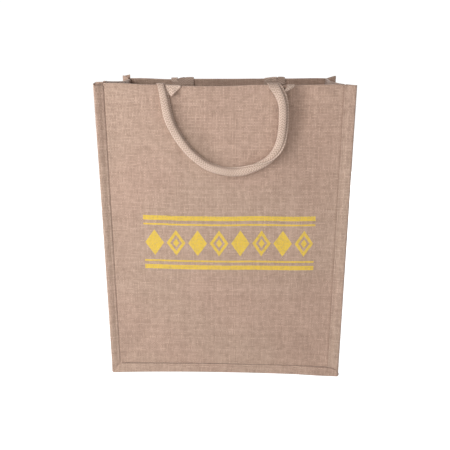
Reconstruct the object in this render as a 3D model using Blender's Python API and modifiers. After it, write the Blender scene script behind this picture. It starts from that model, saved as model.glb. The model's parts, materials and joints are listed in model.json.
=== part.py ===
"""A standing jute tote bag: two hemmed panels, one gusset strip, two bound seams and two rope handles.

Metres, +Z up. The front faces -Y and +X is to the right of someone who faces it. The origin is the
middle of the base, on the surface that the bag stands on. Every sheet is an open grid bent to its place
and given its thickness by Solidify; the handles are lofts from a flat tape end to a round rope.
"""

import math
from collections import namedtuple

import bmesh
import bpy
from mathutils import Matrix, Vector

# Driving dimensions.
HEIGHT = 0.448  # rim above the surface
HALF_DEPTH = 0.0945  # middle plane to a panel's middle surface at its seams
SEAM_LEFT = 0.1690  # middle plane to the left seam at the base
SEAM_RIGHT = 0.1635  # middle plane to the right seam at the base
SEAM_FLARE = 0.0015  # how much further out both seams lie at the rim
LIP_EDGE = 0.1810  # middle plane to the outer edge of the bound side lips
BASE = 0.0168  # seam of the base above the surface, which is the depth of the lip under it
CORNER = 0.0030  # radius of the gusset at the two bottom corners

# Cloth.
CLOTH = 0.0010
BINDING = 0.0010
LAYER = 0.00165  # from the middle of one sewn layer to the middle of the next
FOLD = LAYER / 2  # radius of a hem's fold
HEM = 0.038  # depth of the hem inside the rim
HEM_INSET = 0.0027  # how far the panels' hems stop short of the side seams
CUT_IN = 0.0033  # from a lip's outer edge to the cut edges inside it
LIP_LIFT = 0.0001  # how far the bound base lips stay above the surface
LEG_START = 0.0003  # from a seam to the binding's edge on the outside
BACK_LEG_START = 0.0019  # the same on the gusset's side
LEG_MIDDLE = 0.0055  # from a seam to the row of points half way along each leg
BEND_STEPS = 4  # facets round the binding's outer edge
TURN = 0.0008  # how far the gusset takes to turn out into its allowance

# The gusset's columns outside its seams, and how far out each lies: a negative distance counts back from
# the lip's outer edge.
ALLOWANCE = {1.2: TURN, 1.6: 0.0045, 2: -CUT_IN}

# Shape of the standing bag.
BELLY = 0.0022  # how far the panels stand out at their middle
HOLLOW_REACH = 0.055  # height over which the bow of the base seam dies away
CREASE = 0.0014  # depth of the soft creases that run up from the bottom corners
CREASE_WIDTH = 0.011
CREASE_REACH = 0.110
CREASE_SLOPE = 0.75  # distance in from the side seam for each metre up
CREASE_START = 0.010  # distance from a seam at which a crease has its full depth
SIDE_BOW = 0.0075  # how far the sides lean in along their middle crease
SIDE_BOW_LOW = 0.06  # share of a half wave at which the bow starts, at the base
SIDE_BOW_SPAN = 0.72  # share of a half wave that it runs through up to the rim
SIDE_BOW_RISE = 0.20  # share of the height over which it sets in
SIDE_BOW_POWER = 1.2  # how far it keeps to the middle crease
FLAT_SHARE = 0.40  # share of the base's half depth over which it comes down to the surface
FLAT_RUN = 0.045  # the same along the base, from each bottom corner
LIP_CORNER_POWER = 0.25  # how square a lip's bottom corner is: 1 is round and 0 is square

# Handles.
TAPE_HALF_WIDTH = 0.0180
TAPE_HALF_THICK = 0.0008
TAPE_SQUARENESS = 0.35  # power of the tape's section: 1 is an ellipse and 0 is a rectangle
ROPE_RADIUS = 0.0067
HANDLE_SIDES = 10
HANDLE_STEPS = 2  # rings in each stretch of the route

# sign is -1 at the front and 1 at the back. rim lists x and the rim's height there. The lips lean out from
# the panel's plane by these distances at their edges. hollow is how far the base seam bows in at its
# middle. tops are the heights at which the binding's left and right ends stand above the rim.
Face = namedtuple("Face", "sign rim lean_top_left lean_left lean_base lean_right lean_top_right hollow tops")

FRONT = Face(
    sign=-1,
    rim=(
        (-0.180, 0.4502), (-0.150, 0.4502), (-0.105, 0.4480), (-0.055, 0.4461), (0.000, 0.4461),
        (0.045, 0.4480), (0.100, 0.4472), (0.150, 0.4486), (0.180, 0.4472),
    ),
    lean_top_left=0.0052, lean_left=0.0040, lean_base=0.0022, lean_right=0.0032, lean_top_right=0.0030,
    hollow=0.0042, tops=(0.0035, 0.0012),
)
BACK = Face(
    sign=1,
    rim=(
        (-0.180, 0.4490), (-0.150, 0.4492), (-0.100, 0.4474), (-0.050, 0.4483), (0.045, 0.4484),
        (0.100, 0.4480), (0.150, 0.4494), (0.180, 0.4490),
    ),
    lean_top_left=0.0040, lean_left=0.0036, lean_base=0.0022, lean_right=0.0036, lean_top_right=0.0042,
    hollow=0.0035, tops=(0.0050, 0.0048),
)

# The handle's route from the left end inside the rim, over it, down and round to the right end. out is
# measured from the panel's middle surface, and turn is the way its outer face looks: 180 into the bag,
# 90 up and 0 away from the bag. up is measured from the rim.
Route = namedtuple("Route", "x out up half_width half_thick turn")
ROUTE = tuple(
    Route(*row)
    for row in (
        (-0.0782, -0.0036, -0.0360, TAPE_HALF_WIDTH, TAPE_HALF_THICK, 180),
        (-0.0782, -0.0036, -0.0180, TAPE_HALF_WIDTH, TAPE_HALF_THICK, 180),
        (-0.0782, -0.0036, -0.0030, TAPE_HALF_WIDTH, TAPE_HALF_THICK, 180),
        (-0.0782, -0.0027, 0.0014, TAPE_HALF_WIDTH, TAPE_HALF_THICK, 135),
        (-0.0782, 0.0000, 0.0030, TAPE_HALF_WIDTH, 0.0009, 90),
        (-0.0784, 0.0032, 0.0018, 0.0178, 0.0010, 45),
        (-0.0790, 0.0052, -0.0026, 0.0168, 0.0014, 10),
        (-0.0818, 0.0070, -0.0100, 0.0125, 0.0032, 0),
        (-0.0842, 0.0088, -0.0185, 0.0084, 0.0058, 0),
        (-0.0844, 0.0094, -0.0290, ROPE_RADIUS, ROPE_RADIUS, 0),
        (-0.0812, 0.0092, -0.0440, ROPE_RADIUS, ROPE_RADIUS, 0),
        (-0.0730, 0.0088, -0.0620, ROPE_RADIUS, ROPE_RADIUS, 0),
        (-0.0610, 0.0086, -0.0790, ROPE_RADIUS, ROPE_RADIUS, 0),
        (-0.0440, 0.0084, -0.0965, ROPE_RADIUS, ROPE_RADIUS, 0),
        (-0.0220, 0.0084, -0.1110, ROPE_RADIUS, ROPE_RADIUS, 0),
        (0.0030, 0.0084, -0.1180, ROPE_RADIUS, ROPE_RADIUS, 0),
        (0.0270, 0.0084, -0.1185, ROPE_RADIUS, ROPE_RADIUS, 0),
        (0.0490, 0.0085, -0.1110, ROPE_RADIUS, ROPE_RADIUS, 0),
        (0.0665, 0.0087, -0.0985, ROPE_RADIUS, ROPE_RADIUS, 0),
        (0.0770, 0.0090, -0.0800, ROPE_RADIUS, ROPE_RADIUS, 0),
        (0.0810, 0.0094, -0.0570, ROPE_RADIUS, ROPE_RADIUS, 0),
        (0.0814, 0.0096, -0.0370, ROPE_RADIUS, ROPE_RADIUS, 0),
        (0.0798, 0.0096, -0.0220, 0.0070, 0.0066, 0),
        (0.0768, 0.0086, -0.0120, 0.0105, 0.0046, 0),
        (0.0762, 0.0064, -0.0040, 0.0155, 0.0020, 8),
        (0.0763, 0.0034, 0.0020, 0.0176, 0.0010, 45),
        (0.0765, 0.0000, 0.0032, TAPE_HALF_WIDTH, 0.0009, 90),
        (0.0765, -0.0027, 0.0014, TAPE_HALF_WIDTH, TAPE_HALF_THICK, 135),
        (0.0765, -0.0036, -0.0030, TAPE_HALF_WIDTH, TAPE_HALF_THICK, 180),
        (0.0765, -0.0036, -0.0180, TAPE_HALF_WIDTH, TAPE_HALF_THICK, 180),
        (0.0765, -0.0036, -0.0360, TAPE_HALF_WIDTH, TAPE_HALF_THICK, 180),
    )
)

ROUGHNESS = 0.9
JUTE = (0.52, 0.37, 0.27, 1.0)
JUTE_TAPE = (0.50, 0.36, 0.27, 1.0)
COTTON = (0.69, 0.55, 0.45, 1.0)


def clamp(value):
    """The value, kept from 0 to 1."""
    return min(max(value, 0.0), 1.0)


def ease(share):
    """0 to 1 with a level start and end."""
    share = clamp(share)
    return share * share * (3 - 2 * share)


def mix(first, second, share):
    """first at a share of 0 and second at 1."""
    return first + (second - first) * share


def spaced(first, last, steps):
    """Evenly spaced values from first to last, both included."""
    return [mix(first, last, step / steps) for step in range(steps + 1)]


def rim_height(face, x):
    """Height of a panel's rim, eased between the points of the face's list."""
    points = face.rim
    if x <= points[0][0]:
        return points[0][1]
    for (x0, z0), (x1, z1) in zip(points, points[1:]):
        if x <= x1:
            return mix(z0, z1, ease((x - x0) / (x1 - x0)))
    return points[-1][1]


def seam(x, z):
    """Distance from the middle plane to the side seam on x's side, at height z."""
    return (SEAM_LEFT if x < 0 else SEAM_RIGHT) + SEAM_FLARE * clamp(z / HEIGHT)


def lip_lean(face, x, z):
    """How far the sewn lips lean out of the panel's plane at a point on them, and 0 on the panel."""
    edge = seam(x, z)
    aside = clamp((abs(x) - edge) / (LIP_EDGE - edge))
    below = clamp((BASE - z) / BASE)
    low, top = (
        (face.lean_left, face.lean_top_left) if x < 0 else (face.lean_right, face.lean_top_right)
    )
    side = mix(low, top, ease(z / HEIGHT))
    base = mix(face.lean_base, low, clamp(abs(x) / edge) ** 4)
    return ((aside * side) ** 3 + (below * base) ** 3) ** (1 / 3)


def panel_depth(face, x, z):
    """Distance from the bag's middle plane to a panel's middle surface."""
    edge = seam(x, z)
    across = clamp(abs(x) / edge)
    inside = 1 - across * across
    up = clamp((z - BASE) / (HEIGHT - BASE))
    belly = BELLY * inside * math.sin(math.pi * up)
    hollow = face.hollow * inside * math.exp(-max(z, 0.0) / HOLLOW_REACH)
    from_corner = edge - abs(x)
    off_crease = (from_corner - CREASE_SLOPE * (z - BASE)) / math.hypot(1, CREASE_SLOPE)
    along = clamp(math.hypot(from_corner, z - BASE) / CREASE_REACH)
    crease = CREASE * math.exp(-((off_crease / CREASE_WIDTH) ** 2)) * math.sin(math.pi * along)
    on_panel = clamp(from_corner / CREASE_START) * clamp((z - BASE) / CREASE_START)
    return HALF_DEPTH + belly - hollow - crease * on_panel + lip_lean(face, x, z)


def make_object(name, mesh, colour):
    """Puts a mesh in the scene under its name, with a cloth material of its own."""
    material = bpy.data.materials.new(name + "_cloth")
    material.use_nodes = True
    shader = material.node_tree.nodes["Principled BSDF"]
    shader.inputs["Base Color"].default_value = colour
    shader.inputs["Roughness"].default_value = ROUGHNESS
    shader.inputs["Metallic"].default_value = 0.0
    mesh.materials.append(material)
    mesh.shade_smooth()
    obj = bpy.data.objects.new(name, mesh)
    bpy.data.collections["jute_tote_bag"].objects.link(obj)
    return obj


def cloth_sheet(name, columns, rows, place, cut_away, thickness, colour):
    """A grid of columns by rows, bent by place(column, row), trimmed by cut_away and made solid."""
    sheet = bmesh.new()
    bmesh.ops.create_grid(sheet, x_segments=len(columns) - 1, y_segments=len(rows) - 1, size=1.0)
    spare = []
    for vertex in sheet.verts:
        column = columns[round((vertex.co.x + 1) / 2 * (len(columns) - 1))]
        row = rows[round((vertex.co.y + 1) / 2 * (len(rows) - 1))]
        if cut_away(column, row):
            spare.append(vertex)
        else:
            vertex.co = place(column, row)
    bmesh.ops.delete(sheet, geom=spare, context="VERTS")
    mesh = bpy.data.meshes.new(name)
    sheet.to_mesh(mesh)
    sheet.free()
    obj = make_object(name, mesh, colour)
    solidify = obj.modifiers.new("thickness", "SOLIDIFY")
    solidify.thickness = thickness
    solidify.offset = 0.0
    solidify.use_even_offset = True
    return obj


def keep_all(column, row):
    """For a sheet with nothing trimmed off."""
    return False


# A panel's columns run from -2 to 2: -1 and 1 are the side seams, and beyond them lie the allowances. Its
# rows run from -1, the cut edge below, over 0, the base seam, and 1, the rim, to 2, the far side of the
# hem's fold, and 3, the hem's edge.


def panel_place(face, column, row):
    """Where a panel's grid point lies."""
    beyond = abs(column) - 1
    up = clamp(row)
    turn = math.pi * clamp(row - 1)
    rough_z = mix(BASE, HEIGHT, up) if row > 0 else mix(BASE, CUT_IN, -row)
    edge = seam(column, rough_z)
    if beyond > 0:
        x = math.copysign(mix(edge, LIP_EDGE - CUT_IN, beyond), column)
    else:
        x = column * (edge - HEM_INSET * clamp(row - 1))
    top = rim_height(face, x) - FOLD
    if row <= 0:
        z = rough_z
    elif row <= 1:
        z = mix(BASE, top, up)
    else:
        z = top + FOLD * math.sin(turn) - HEM * max(row - 2, 0)
    inward = FOLD * (1 - math.cos(turn))
    return Vector((x, face.sign * (panel_depth(face, x, z) - inward), z))


def make_panel(name, face):
    """A panel with its hem and its seam allowances in one cloth."""
    columns = [-2, -1.6, -1.2] + spaced(-1, 1, 10) + [1.2, 1.6, 2]
    rows = [-1, -0.6, -0.2] + spaced(0, 1, 12) + spaced(1, 2, 4)[1:] + spaced(2, 3, 2)[1:]
    return cloth_sheet(
        name,
        columns,
        rows,
        lambda column, row: panel_place(face, column, row),
        lambda column, row: abs(column) > 1 and row > 1,
        CLOTH,
        JUTE,
    )


# A station is a place along the seams' U: 0 to 1 down the left side, 1 to 2 round the left bottom corner,
# 2 to 3 along the base, 3 to 4 round the right corner and 4 to 5 up the right side.


def station_points(station, top):
    """The seam's point and the lip's outer point at a station, each as (x, z)."""
    mirrored = station > 2.5
    if mirrored:
        station = 5 - station
    sign = 1 if mirrored else -1
    level = BASE + CORNER
    if station <= 1:
        z = mix(top, level, station)
        return (sign * seam(sign, z), z), (sign * LIP_EDGE, z)
    start = seam(sign, 0) - CORNER
    if station <= 2:
        turn = math.radians(90 * (station - 1))
        reach = LIP_EDGE - start
        near = (sign * (start + CORNER * math.cos(turn)), level - CORNER * math.sin(turn))
        far = (
            sign * (start + reach * math.cos(turn) ** LIP_CORNER_POWER),
            level - (level - LIP_LIFT) * math.sin(turn) ** LIP_CORNER_POWER,
        )
        return near, far
    other = seam(-sign, 0) - CORNER
    x = sign * mix(start, (start - other) / 2, (station - 2) / 0.5)
    return (x, BASE), (x, LIP_LIFT)


def lip_point(face, station, top, out, forward):
    """A point of a bound lip: out from the seam, and forward of the panel's middle surface."""
    near, far = station_points(station, top)
    reach = math.dist(near, far)
    out = out if out >= 0 else reach + out
    x = mix(near[0], far[0], out / reach)
    z = mix(near[1], far[1], out / reach)
    return Vector((x, face.sign * (panel_depth(face, x, z) + forward), z))


# The gusset's columns run from -2, the cut edge of the front allowance, over -1 to 1, the strip between the
# seams, to 2. Its rows are stations, with 0 to -1 and 5 to 6 for the hems' folds and one more for the hems.


def gusset_rim(x, column):
    """Height of the gusset's fold at the rim, between the front's and the back's."""
    return mix(rim_height(FRONT, x), rim_height(BACK, x), clamp((column + 1) / 2)) - FOLD


def gusset_place(column, row):
    """Where the gusset's grid point lies."""
    face = FRONT if column < 0 else BACK
    station = min(max(row, 0), 5)
    past = max(-row, row - 5, 0)
    side = -1 if station < 2.5 else 1
    top = gusset_rim(side * SEAM_LEFT, column)
    if abs(column) > 1:
        return lip_point(face, station, top, ALLOWANCE[abs(column)], -LAYER)
    (x, z), _ = station_points(station, top)
    ends = [half.sign * (panel_depth(half, x, z) - LAYER - TURN) for half in (FRONT, BACK)]
    y = mix(ends[0], ends[1], (column + 1) / 2)
    from_seam = 1 - abs(column)
    if 2 < station < 3:
        run = min(x + SEAM_LEFT, SEAM_RIGHT - x) - CORNER
        z -= (BASE - CLOTH / 2) * ease(from_seam / FLAT_SHARE) * ease(run / FLAT_RUN)
    else:
        rise = clamp((z - BASE - CORNER) / (HEIGHT - BASE))
        wave = math.sin(math.pi * (SIDE_BOW_LOW + SIDE_BOW_SPAN * rise))
        bow = SIDE_BOW * wave * ease(rise / SIDE_BOW_RISE)
        x -= side * bow * from_seam**SIDE_BOW_POWER
    turn = math.pi * clamp(past)
    x -= side * FOLD * (1 - math.cos(turn))
    z += FOLD * math.sin(turn) - HEM * max(past - 1, 0)
    return Vector((x, y, z))


def make_gusset():
    """One strip down the left side, under the bag and up the right side, hemmed at both ends."""
    allowance = list(ALLOWANCE)
    columns = [-value for value in reversed(allowance)] + spaced(-1, 1, 10) + allowance
    side = spaced(0, 1, 9)
    fold = spaced(-2, -1, 2) + spaced(-1, 0, 4)[1:-1]
    half = fold + side + spaced(1, 2, 3)[1:]
    base = [2.0, 2.08, 2.16] + spaced(2.25, 2.75, 4) + [2.84, 2.92, 3.0]
    rows = half + base[1:-1] + [5 - value for value in reversed(half)]
    return cloth_sheet(
        "gusset",
        columns,
        rows,
        gusset_place,
        lambda column, row: abs(column) > 1 and not 0 <= row <= 5,
        CLOTH,
        JUTE,
    )


def binding_section(steps):
    """The folded tape's section as (out, forward), out being counted back from the lip's edge if negative."""
    radius = 1.5 * LAYER
    centre = -(radius + BINDING / 2)
    arc = [math.radians(value) for value in spaced(0, 180, steps)]
    bend = [(centre + radius * math.sin(a), radius * math.cos(a) - LAYER / 2) for a in arc]
    front = [(LEG_START, LAYER), (LEG_MIDDLE, LAYER)]
    back = [(LEG_MIDDLE, -2 * LAYER), (BACK_LEG_START, -2 * LAYER)]
    return front + bend + back


def make_binding(name, face):
    """The tape folded round both seams' lips, in one U from rim to rim."""
    section = binding_section(BEND_STEPS)
    half = spaced(0, 1, 8) + spaced(1, 2, 4)[1:]
    rows = half + spaced(2, 3, 8)[1:-1] + [5 - value for value in reversed(half)]

    def place(column, row):
        side = 0 if row < 2.5 else 1
        top = rim_height(face, (-1, 1)[side] * SEAM_LEFT) + face.tops[side]
        return lip_point(face, row, top, *section[column])

    return cloth_sheet(name, range(len(section)), rows, place, keep_all, BINDING, JUTE_TAPE)


def smoothed(rows, steps):
    """Rows in between, on a Catmull-Rom curve through all columns at once."""
    found = []
    for index in range(len(rows) - 1):
        before = rows[max(index - 1, 0)]
        start, end = rows[index], rows[index + 1]
        after = rows[min(index + 2, len(rows) - 1)]
        for step in range(steps):
            t = step / steps
            found.append(
                Route(*(
                    b + (c - a) * t / 2
                    + (2 * a - 5 * b + 4 * c - d) * t * t / 2
                    + (3 * b - a - 3 * c + d) * t**3 / 2
                    for a, b, c, d in zip(before, start, end, after)
                ))
            )
    return found + [rows[-1]]


def handle_ring(centre, along, route):
    """One section of the handle: a flat oblong on the tape ends, a circle on the rope."""
    turn = math.radians(route.turn)
    outer = Vector((0, -math.cos(turn), math.sin(turn)))
    across = outer.cross(along).normalized()
    outer = along.cross(across).normalized()
    round_share = clamp((route.half_thick - TAPE_HALF_THICK) / (ROPE_RADIUS - TAPE_HALF_THICK))
    power = mix(TAPE_SQUARENESS, 1.0, ease(round_share * 2))
    ring = []
    for side in range(HANDLE_SIDES):
        angle = math.tau * (side + 0.5) / HANDLE_SIDES
        wide = math.copysign(abs(math.cos(angle)) ** power, math.cos(angle))
        thick = math.copysign(abs(math.sin(angle)) ** power, math.sin(angle))
        ring.append(centre + across * wide * route.half_width + outer * thick * route.half_thick)
    return ring


def make_handle(name, face):
    """Both handles hang the same way seen from their own side, so the back one is turned half round."""
    rows = smoothed(ROUTE, HANDLE_STEPS)
    centres = []
    for row in rows:
        x = -face.sign * row.x
        z = rim_height(face, x) + row.up
        depth = panel_depth(face, x, min(z, HEIGHT))
        centres.append(Vector((row.x, -(depth + row.out), z)))
    loft = bmesh.new()
    rings = []
    for index, (row, centre) in enumerate(zip(rows, centres)):
        ahead = centres[min(index + 1, len(rows) - 1)] - centres[max(index - 1, 0)]
        ring = handle_ring(centre, ahead.normalized(), row)
        rings.append([loft.verts.new(point) for point in ring])
    for first, second in zip(rings, rings[1:]):
        for side in range(HANDLE_SIDES):
            following = (side + 1) % HANDLE_SIDES
            loft.faces.new((first[side], first[following], second[following], second[side]))
    loft.faces.new(rings[0])
    loft.faces.new(rings[-1])
    if face is BACK:
        bmesh.ops.rotate(loft, verts=loft.verts, matrix=Matrix.Rotation(math.pi, 3, "Z"))
    bmesh.ops.recalc_face_normals(loft, faces=loft.faces)
    mesh = bpy.data.meshes.new(name)
    loft.to_mesh(mesh)
    loft.free()
    return make_object(name, mesh, COTTON)


def clear_scene():
    """Takes away everything that a new file starts with."""
    for obj in list(bpy.data.objects):
        bpy.data.objects.remove(obj, do_unlink=True)


def main():
    """Makes the seven solids in their collection."""
    clear_scene()
    collection = bpy.data.collections.new("jute_tote_bag")
    bpy.context.scene.collection.children.link(collection)
    make_panel("front_panel", FRONT)
    make_panel("back_panel", BACK)
    make_gusset()
    make_binding("front_binding", FRONT)
    make_binding("back_binding", BACK)
    make_handle("front_handle", FRONT)
    make_handle("back_handle", BACK)


main()
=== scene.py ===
"""Looks of a standing jute tote bag: woven cloth, taped seams, sewing and two stuffed handles.

Metres, +Z up. The front faces -Y and +X is to the right of someone who faces it. The bag stands on z = 0.
Each cloth is a grid of points bent to its place. Its UV map, called cloth, holds metres along the cloth, so
that weave, print and stitches follow the cloth round folds and seams.
"""

import json
import logging
import math
from dataclasses import astuple, dataclass
from enum import Enum

import bpy
import numpy as np
from mathutils import Matrix, Vector

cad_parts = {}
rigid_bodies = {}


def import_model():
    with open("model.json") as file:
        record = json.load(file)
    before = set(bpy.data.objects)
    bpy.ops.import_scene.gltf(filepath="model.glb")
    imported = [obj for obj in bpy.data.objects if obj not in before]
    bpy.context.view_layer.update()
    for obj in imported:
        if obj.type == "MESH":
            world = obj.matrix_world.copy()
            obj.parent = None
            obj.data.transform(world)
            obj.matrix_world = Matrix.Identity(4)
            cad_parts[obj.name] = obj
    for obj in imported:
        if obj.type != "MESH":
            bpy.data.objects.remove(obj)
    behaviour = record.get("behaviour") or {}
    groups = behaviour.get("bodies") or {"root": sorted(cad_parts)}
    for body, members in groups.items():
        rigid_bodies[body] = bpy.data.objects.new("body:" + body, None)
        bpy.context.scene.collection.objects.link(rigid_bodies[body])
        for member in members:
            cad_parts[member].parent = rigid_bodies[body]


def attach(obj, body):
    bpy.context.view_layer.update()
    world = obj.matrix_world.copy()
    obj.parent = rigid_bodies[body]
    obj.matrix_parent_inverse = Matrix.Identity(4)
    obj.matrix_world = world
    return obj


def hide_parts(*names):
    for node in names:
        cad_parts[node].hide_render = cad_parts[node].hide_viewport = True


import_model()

LOG = logging.getLogger("tote")
BODY = "root"
CLOTH_MAP = "cloth"
BASE_MIDDLE = 2.5  # the station at the middle of the base, as BagShape.stations counts them
Array = np.ndarray
Colour = tuple[float, float, float]
Material = bpy.types.Material
Mesh = bpy.types.Mesh
Node = bpy.types.Node
Object = bpy.types.Object
Socket = bpy.types.NodeSocket
Tree = bpy.types.NodeTree


# ---- small maths


def clamp(value: Array) -> Array:
    """The value, kept from 0 to 1."""
    return np.clip(value, 0.0, 1.0)


def ease(share: Array) -> Array:
    """0 to 1 with a level start and end."""
    share = clamp(share)
    return share * share * (3 - 2 * share)


def mix(first: Array, second: Array, share: Array) -> Array:
    """first at a share of 0 and second at 1."""
    return first + (second - first) * share


def bump(distance: Array, width: Array) -> Array:
    """A soft hump: 1 at a distance of 0, and almost nothing at twice the width."""
    return np.exp(-((distance / width) ** 2))


def unit(vectors: Array) -> Array:
    """Vectors along the last axis, each made one long."""
    return vectors / np.maximum(np.linalg.norm(vectors, axis=-1, keepdims=True), 1e-12)


def spaced(*stops: tuple[float, int]) -> Array:
    """Values that run evenly from each stop to the next.

    Args:
        stops: pairs of a value and the number of steps from the stop before it, which the first ignores.

    Returns:
        The values, each stop among them.
    """
    found = [np.array([stops[0][0]])]
    for (start, _), (end, steps) in zip(stops, stops[1:]):
        found.append(np.linspace(start, end, steps + 1)[1:])
    return np.concatenate(found)


def catmull(rows: Array, steps: int) -> Array:
    """A smooth curve through rows of numbers.

    Args:
        rows: one row for each point that the curve passes through.
        steps: how many stretches each gap between two rows is cut into.

    Returns:
        The rows along the curve, the given ones among them.
    """
    padded = np.vstack([rows[:1], rows, rows[-1:]])
    t = np.linspace(0, 1, steps, endpoint=False)[:, None]
    found = []
    for a, b, c, d in zip(padded, padded[1:], padded[2:], padded[3:]):
        curve = (2 * a - 5 * b + 4 * c - d) * t**2 / 2 + (3 * b - a - 3 * c + d) * t**3 / 2
        found.append(b + (c - a) * t / 2 + curve)
    return np.vstack([*found, rows[-1:]])


def distances(points: Array) -> Array:
    """Distance from a path's first point to each of its points, along the path."""
    return np.concatenate([[0], np.cumsum(np.linalg.norm(np.diff(points, axis=0), axis=-1))])


# ---- node building


class Blend(Enum):
    """How one colour is put over another."""

    MIX = "MIX"
    MULTIPLY = "MULTIPLY"


class Nodes:
    """A node tree, and the one way in which this script adds nodes to it."""

    def __init__(self, tree: Tree) -> None:
        """Takes the tree to build in."""
        self.tree = tree

    def add(self, kind: str, settings: dict | None = None, values: dict | None = None) -> Node:
        """Adds a node, sets it up and fills its sockets.

        Args:
            kind: the node's type, such as ShaderNodeMath.
            settings: its properties.
            values: what goes into its sockets, as for fill.

        Returns:
            The node.
        """
        node = self.tree.nodes.new(kind)
        for name, setting in (settings or {}).items():
            setattr(node, name, setting)
        self.fill(node, values or {})
        return node

    def fill(self, node: Node, values: dict) -> None:
        """Fills a node's sockets.

        Args:
            node: the node.
            values: by socket name or number, a plain value, a Value or an output socket to link.
        """
        for name, value in values.items():
            socket = node.inputs[name]
            if isinstance(value, Value):
                value = value.socket
            if isinstance(value, Socket):
                self.tree.links.new(value, socket)
            else:
                socket.default_value = value

    def value(self, node: Node, output: str | int = 0) -> "Value":
        """One of a node's outputs as a value to calculate with."""
        return Value(self, node.outputs[output])

    def attribute(self, name: str) -> "Value":
        """One of the mesh's number attributes."""
        return self.value(self.add("ShaderNodeAttribute", {"attribute_name": name}), "Fac")

    def point(self, **parts: "Value | float") -> Socket:
        """A vector of up to three numbers, given as X, Y and Z."""
        return self.add("ShaderNodeCombineXYZ", values=parts).outputs[0]

    def is_seen(self) -> "Value":
        """1 for the camera, and 0 for light that goes on to something else."""
        return self.value(self.add("ShaderNodeLightPath"), "Is Camera Ray")

    def noise(self, x: "Value", y: "Value", across: float, detail: float = 0.0) -> "Value":
        """Smooth noise from 0 to 1 over two coordinates, whose cells are 1 / across long."""
        values = {"Vector": self.point(X=x, Y=y), "Scale": across, "Detail": detail}
        return self.value(self.add("ShaderNodeTexNoise", {"noise_dimensions": "2D"}, values), "Fac")

    def scatter(self, *parts: "Value") -> "Value":
        """A number from 0 to 1 that looks random, and is always the same for the same parts."""
        place = self.point(**dict(zip("XYZ", parts)))
        noise = self.add("ShaderNodeTexWhiteNoise", {"noise_dimensions": "3D"}, {"Vector": place})
        return self.value(noise, "Value")

    def relief(self, height: "Value", distance: float, strength: float) -> Socket:
        """The way that a surface with relief faces.

        Args:
            height: the relief.
            distance: metres that a height of 1 stands for.
            strength: how much of it shows.

        Returns:
            The normal's socket.
        """
        values = {"Height": height, "Distance": distance, "Strength": strength}
        return self.add("ShaderNodeBump", values=values).outputs[0]

    def blend(
        self, share: "Value | float", first: object, second: object, kind: Blend = Blend.MIX
    ) -> Socket:
        """A colour between two colours, or one multiplied by the other.

        Args:
            share: how much of the second shows.
            first: a colour or a colour socket.
            second: the same.
            kind: the blend's type.

        Returns:
            The mixed colour's socket.
        """
        colours = [(*c, 1.0) if isinstance(c, tuple) and len(c) == 3 else c for c in (first, second)]
        settings = {"data_type": "RGBA", "blend_type": kind.value}
        node = self.add("ShaderNodeMix", settings, {0: share, 6: colours[0], 7: colours[1]})
        return node.outputs[2]


class Value:
    """A number socket that adds Math nodes as it is used in an expression."""

    def __init__(self, nodes: Nodes, socket: Socket) -> None:
        """Takes the tree's Nodes and the output socket."""
        self.nodes = nodes
        self.socket = socket

    def math(self, operation: str, *others: "Value | float", first: "Value | float | None" = None) -> "Value":
        """Adds one Math node.

        Args:
            operation: the node's operation.
            others: what comes after this value.
            first: what comes before it, in a reflected form.

        Returns:
            The node's result.
        """
        parts = [self, *others] if first is None else [first, self, *others]
        node = self.nodes.add("ShaderNodeMath", {"operation": operation}, dict(enumerate(parts)))
        return Value(self.nodes, node.outputs[0])

    def __add__(self, other: "Value | float") -> "Value":
        """self + other."""
        return self.math("ADD", other)

    def __radd__(self, other: float) -> "Value":
        """other + self."""
        return self.math("ADD", other)

    def __sub__(self, other: "Value | float") -> "Value":
        """self - other."""
        return self.math("SUBTRACT", other)

    def __rsub__(self, other: float) -> "Value":
        """other - self."""
        return self.math("SUBTRACT", first=other)

    def __mul__(self, other: "Value | float") -> "Value":
        """self * other."""
        return self.math("MULTIPLY", other)

    def __rmul__(self, other: float) -> "Value":
        """other * self."""
        return self.math("MULTIPLY", other)

    def __truediv__(self, other: "Value | float") -> "Value":
        """self / other."""
        return self.math("DIVIDE", other)

    def __rtruediv__(self, other: float) -> "Value":
        """other / self."""
        return self.math("DIVIDE", first=other)

    def __neg__(self) -> "Value":
        """-self."""
        return self.math("MULTIPLY", -1.0)

    def __abs__(self) -> "Value":
        """Without its sign."""
        return self.math("ABSOLUTE")

    def floor(self) -> "Value":
        """The whole number below."""
        return self.math("FLOOR")

    def fract(self) -> "Value":
        """What is above the whole number below."""
        return self.math("FRACT")

    def cos(self) -> "Value":
        """Cosine, of radians."""
        return self.math("COSINE")

    def root(self) -> "Value":
        """Square root of what is above 0."""
        return self.math("MAXIMUM", 0.0).math("SQRT")

    def most(self, other: "Value | float") -> "Value":
        """The larger of two."""
        return self.math("MAXIMUM", other)

    def least(self, other: "Value | float") -> "Value":
        """The smaller of two."""
        return self.math("MINIMUM", other)

    def above(self, other: "Value | float") -> "Value":
        """1 where it is larger than other, and 0 elsewhere."""
        return self.math("GREATER_THAN", other)

    def rise(self, low: float, high: float, start: float = 0.0, end: float = 1.0) -> "Value":
        """Goes from start to end as this value goes from low to high, and stays there beyond."""
        values = {"Value": self, "From Min": low, "From Max": high, "To Min": start, "To Max": end}
        node = self.nodes.add("ShaderNodeMapRange", {"interpolation_type": "SMOOTHSTEP"}, values)
        return self.nodes.value(node)

    def to(self, other: "Value | float", share: "Value | float") -> "Value":
        """Between this value and other, by a share."""
        return self + (other - self) * share


# ---- finishes


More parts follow.
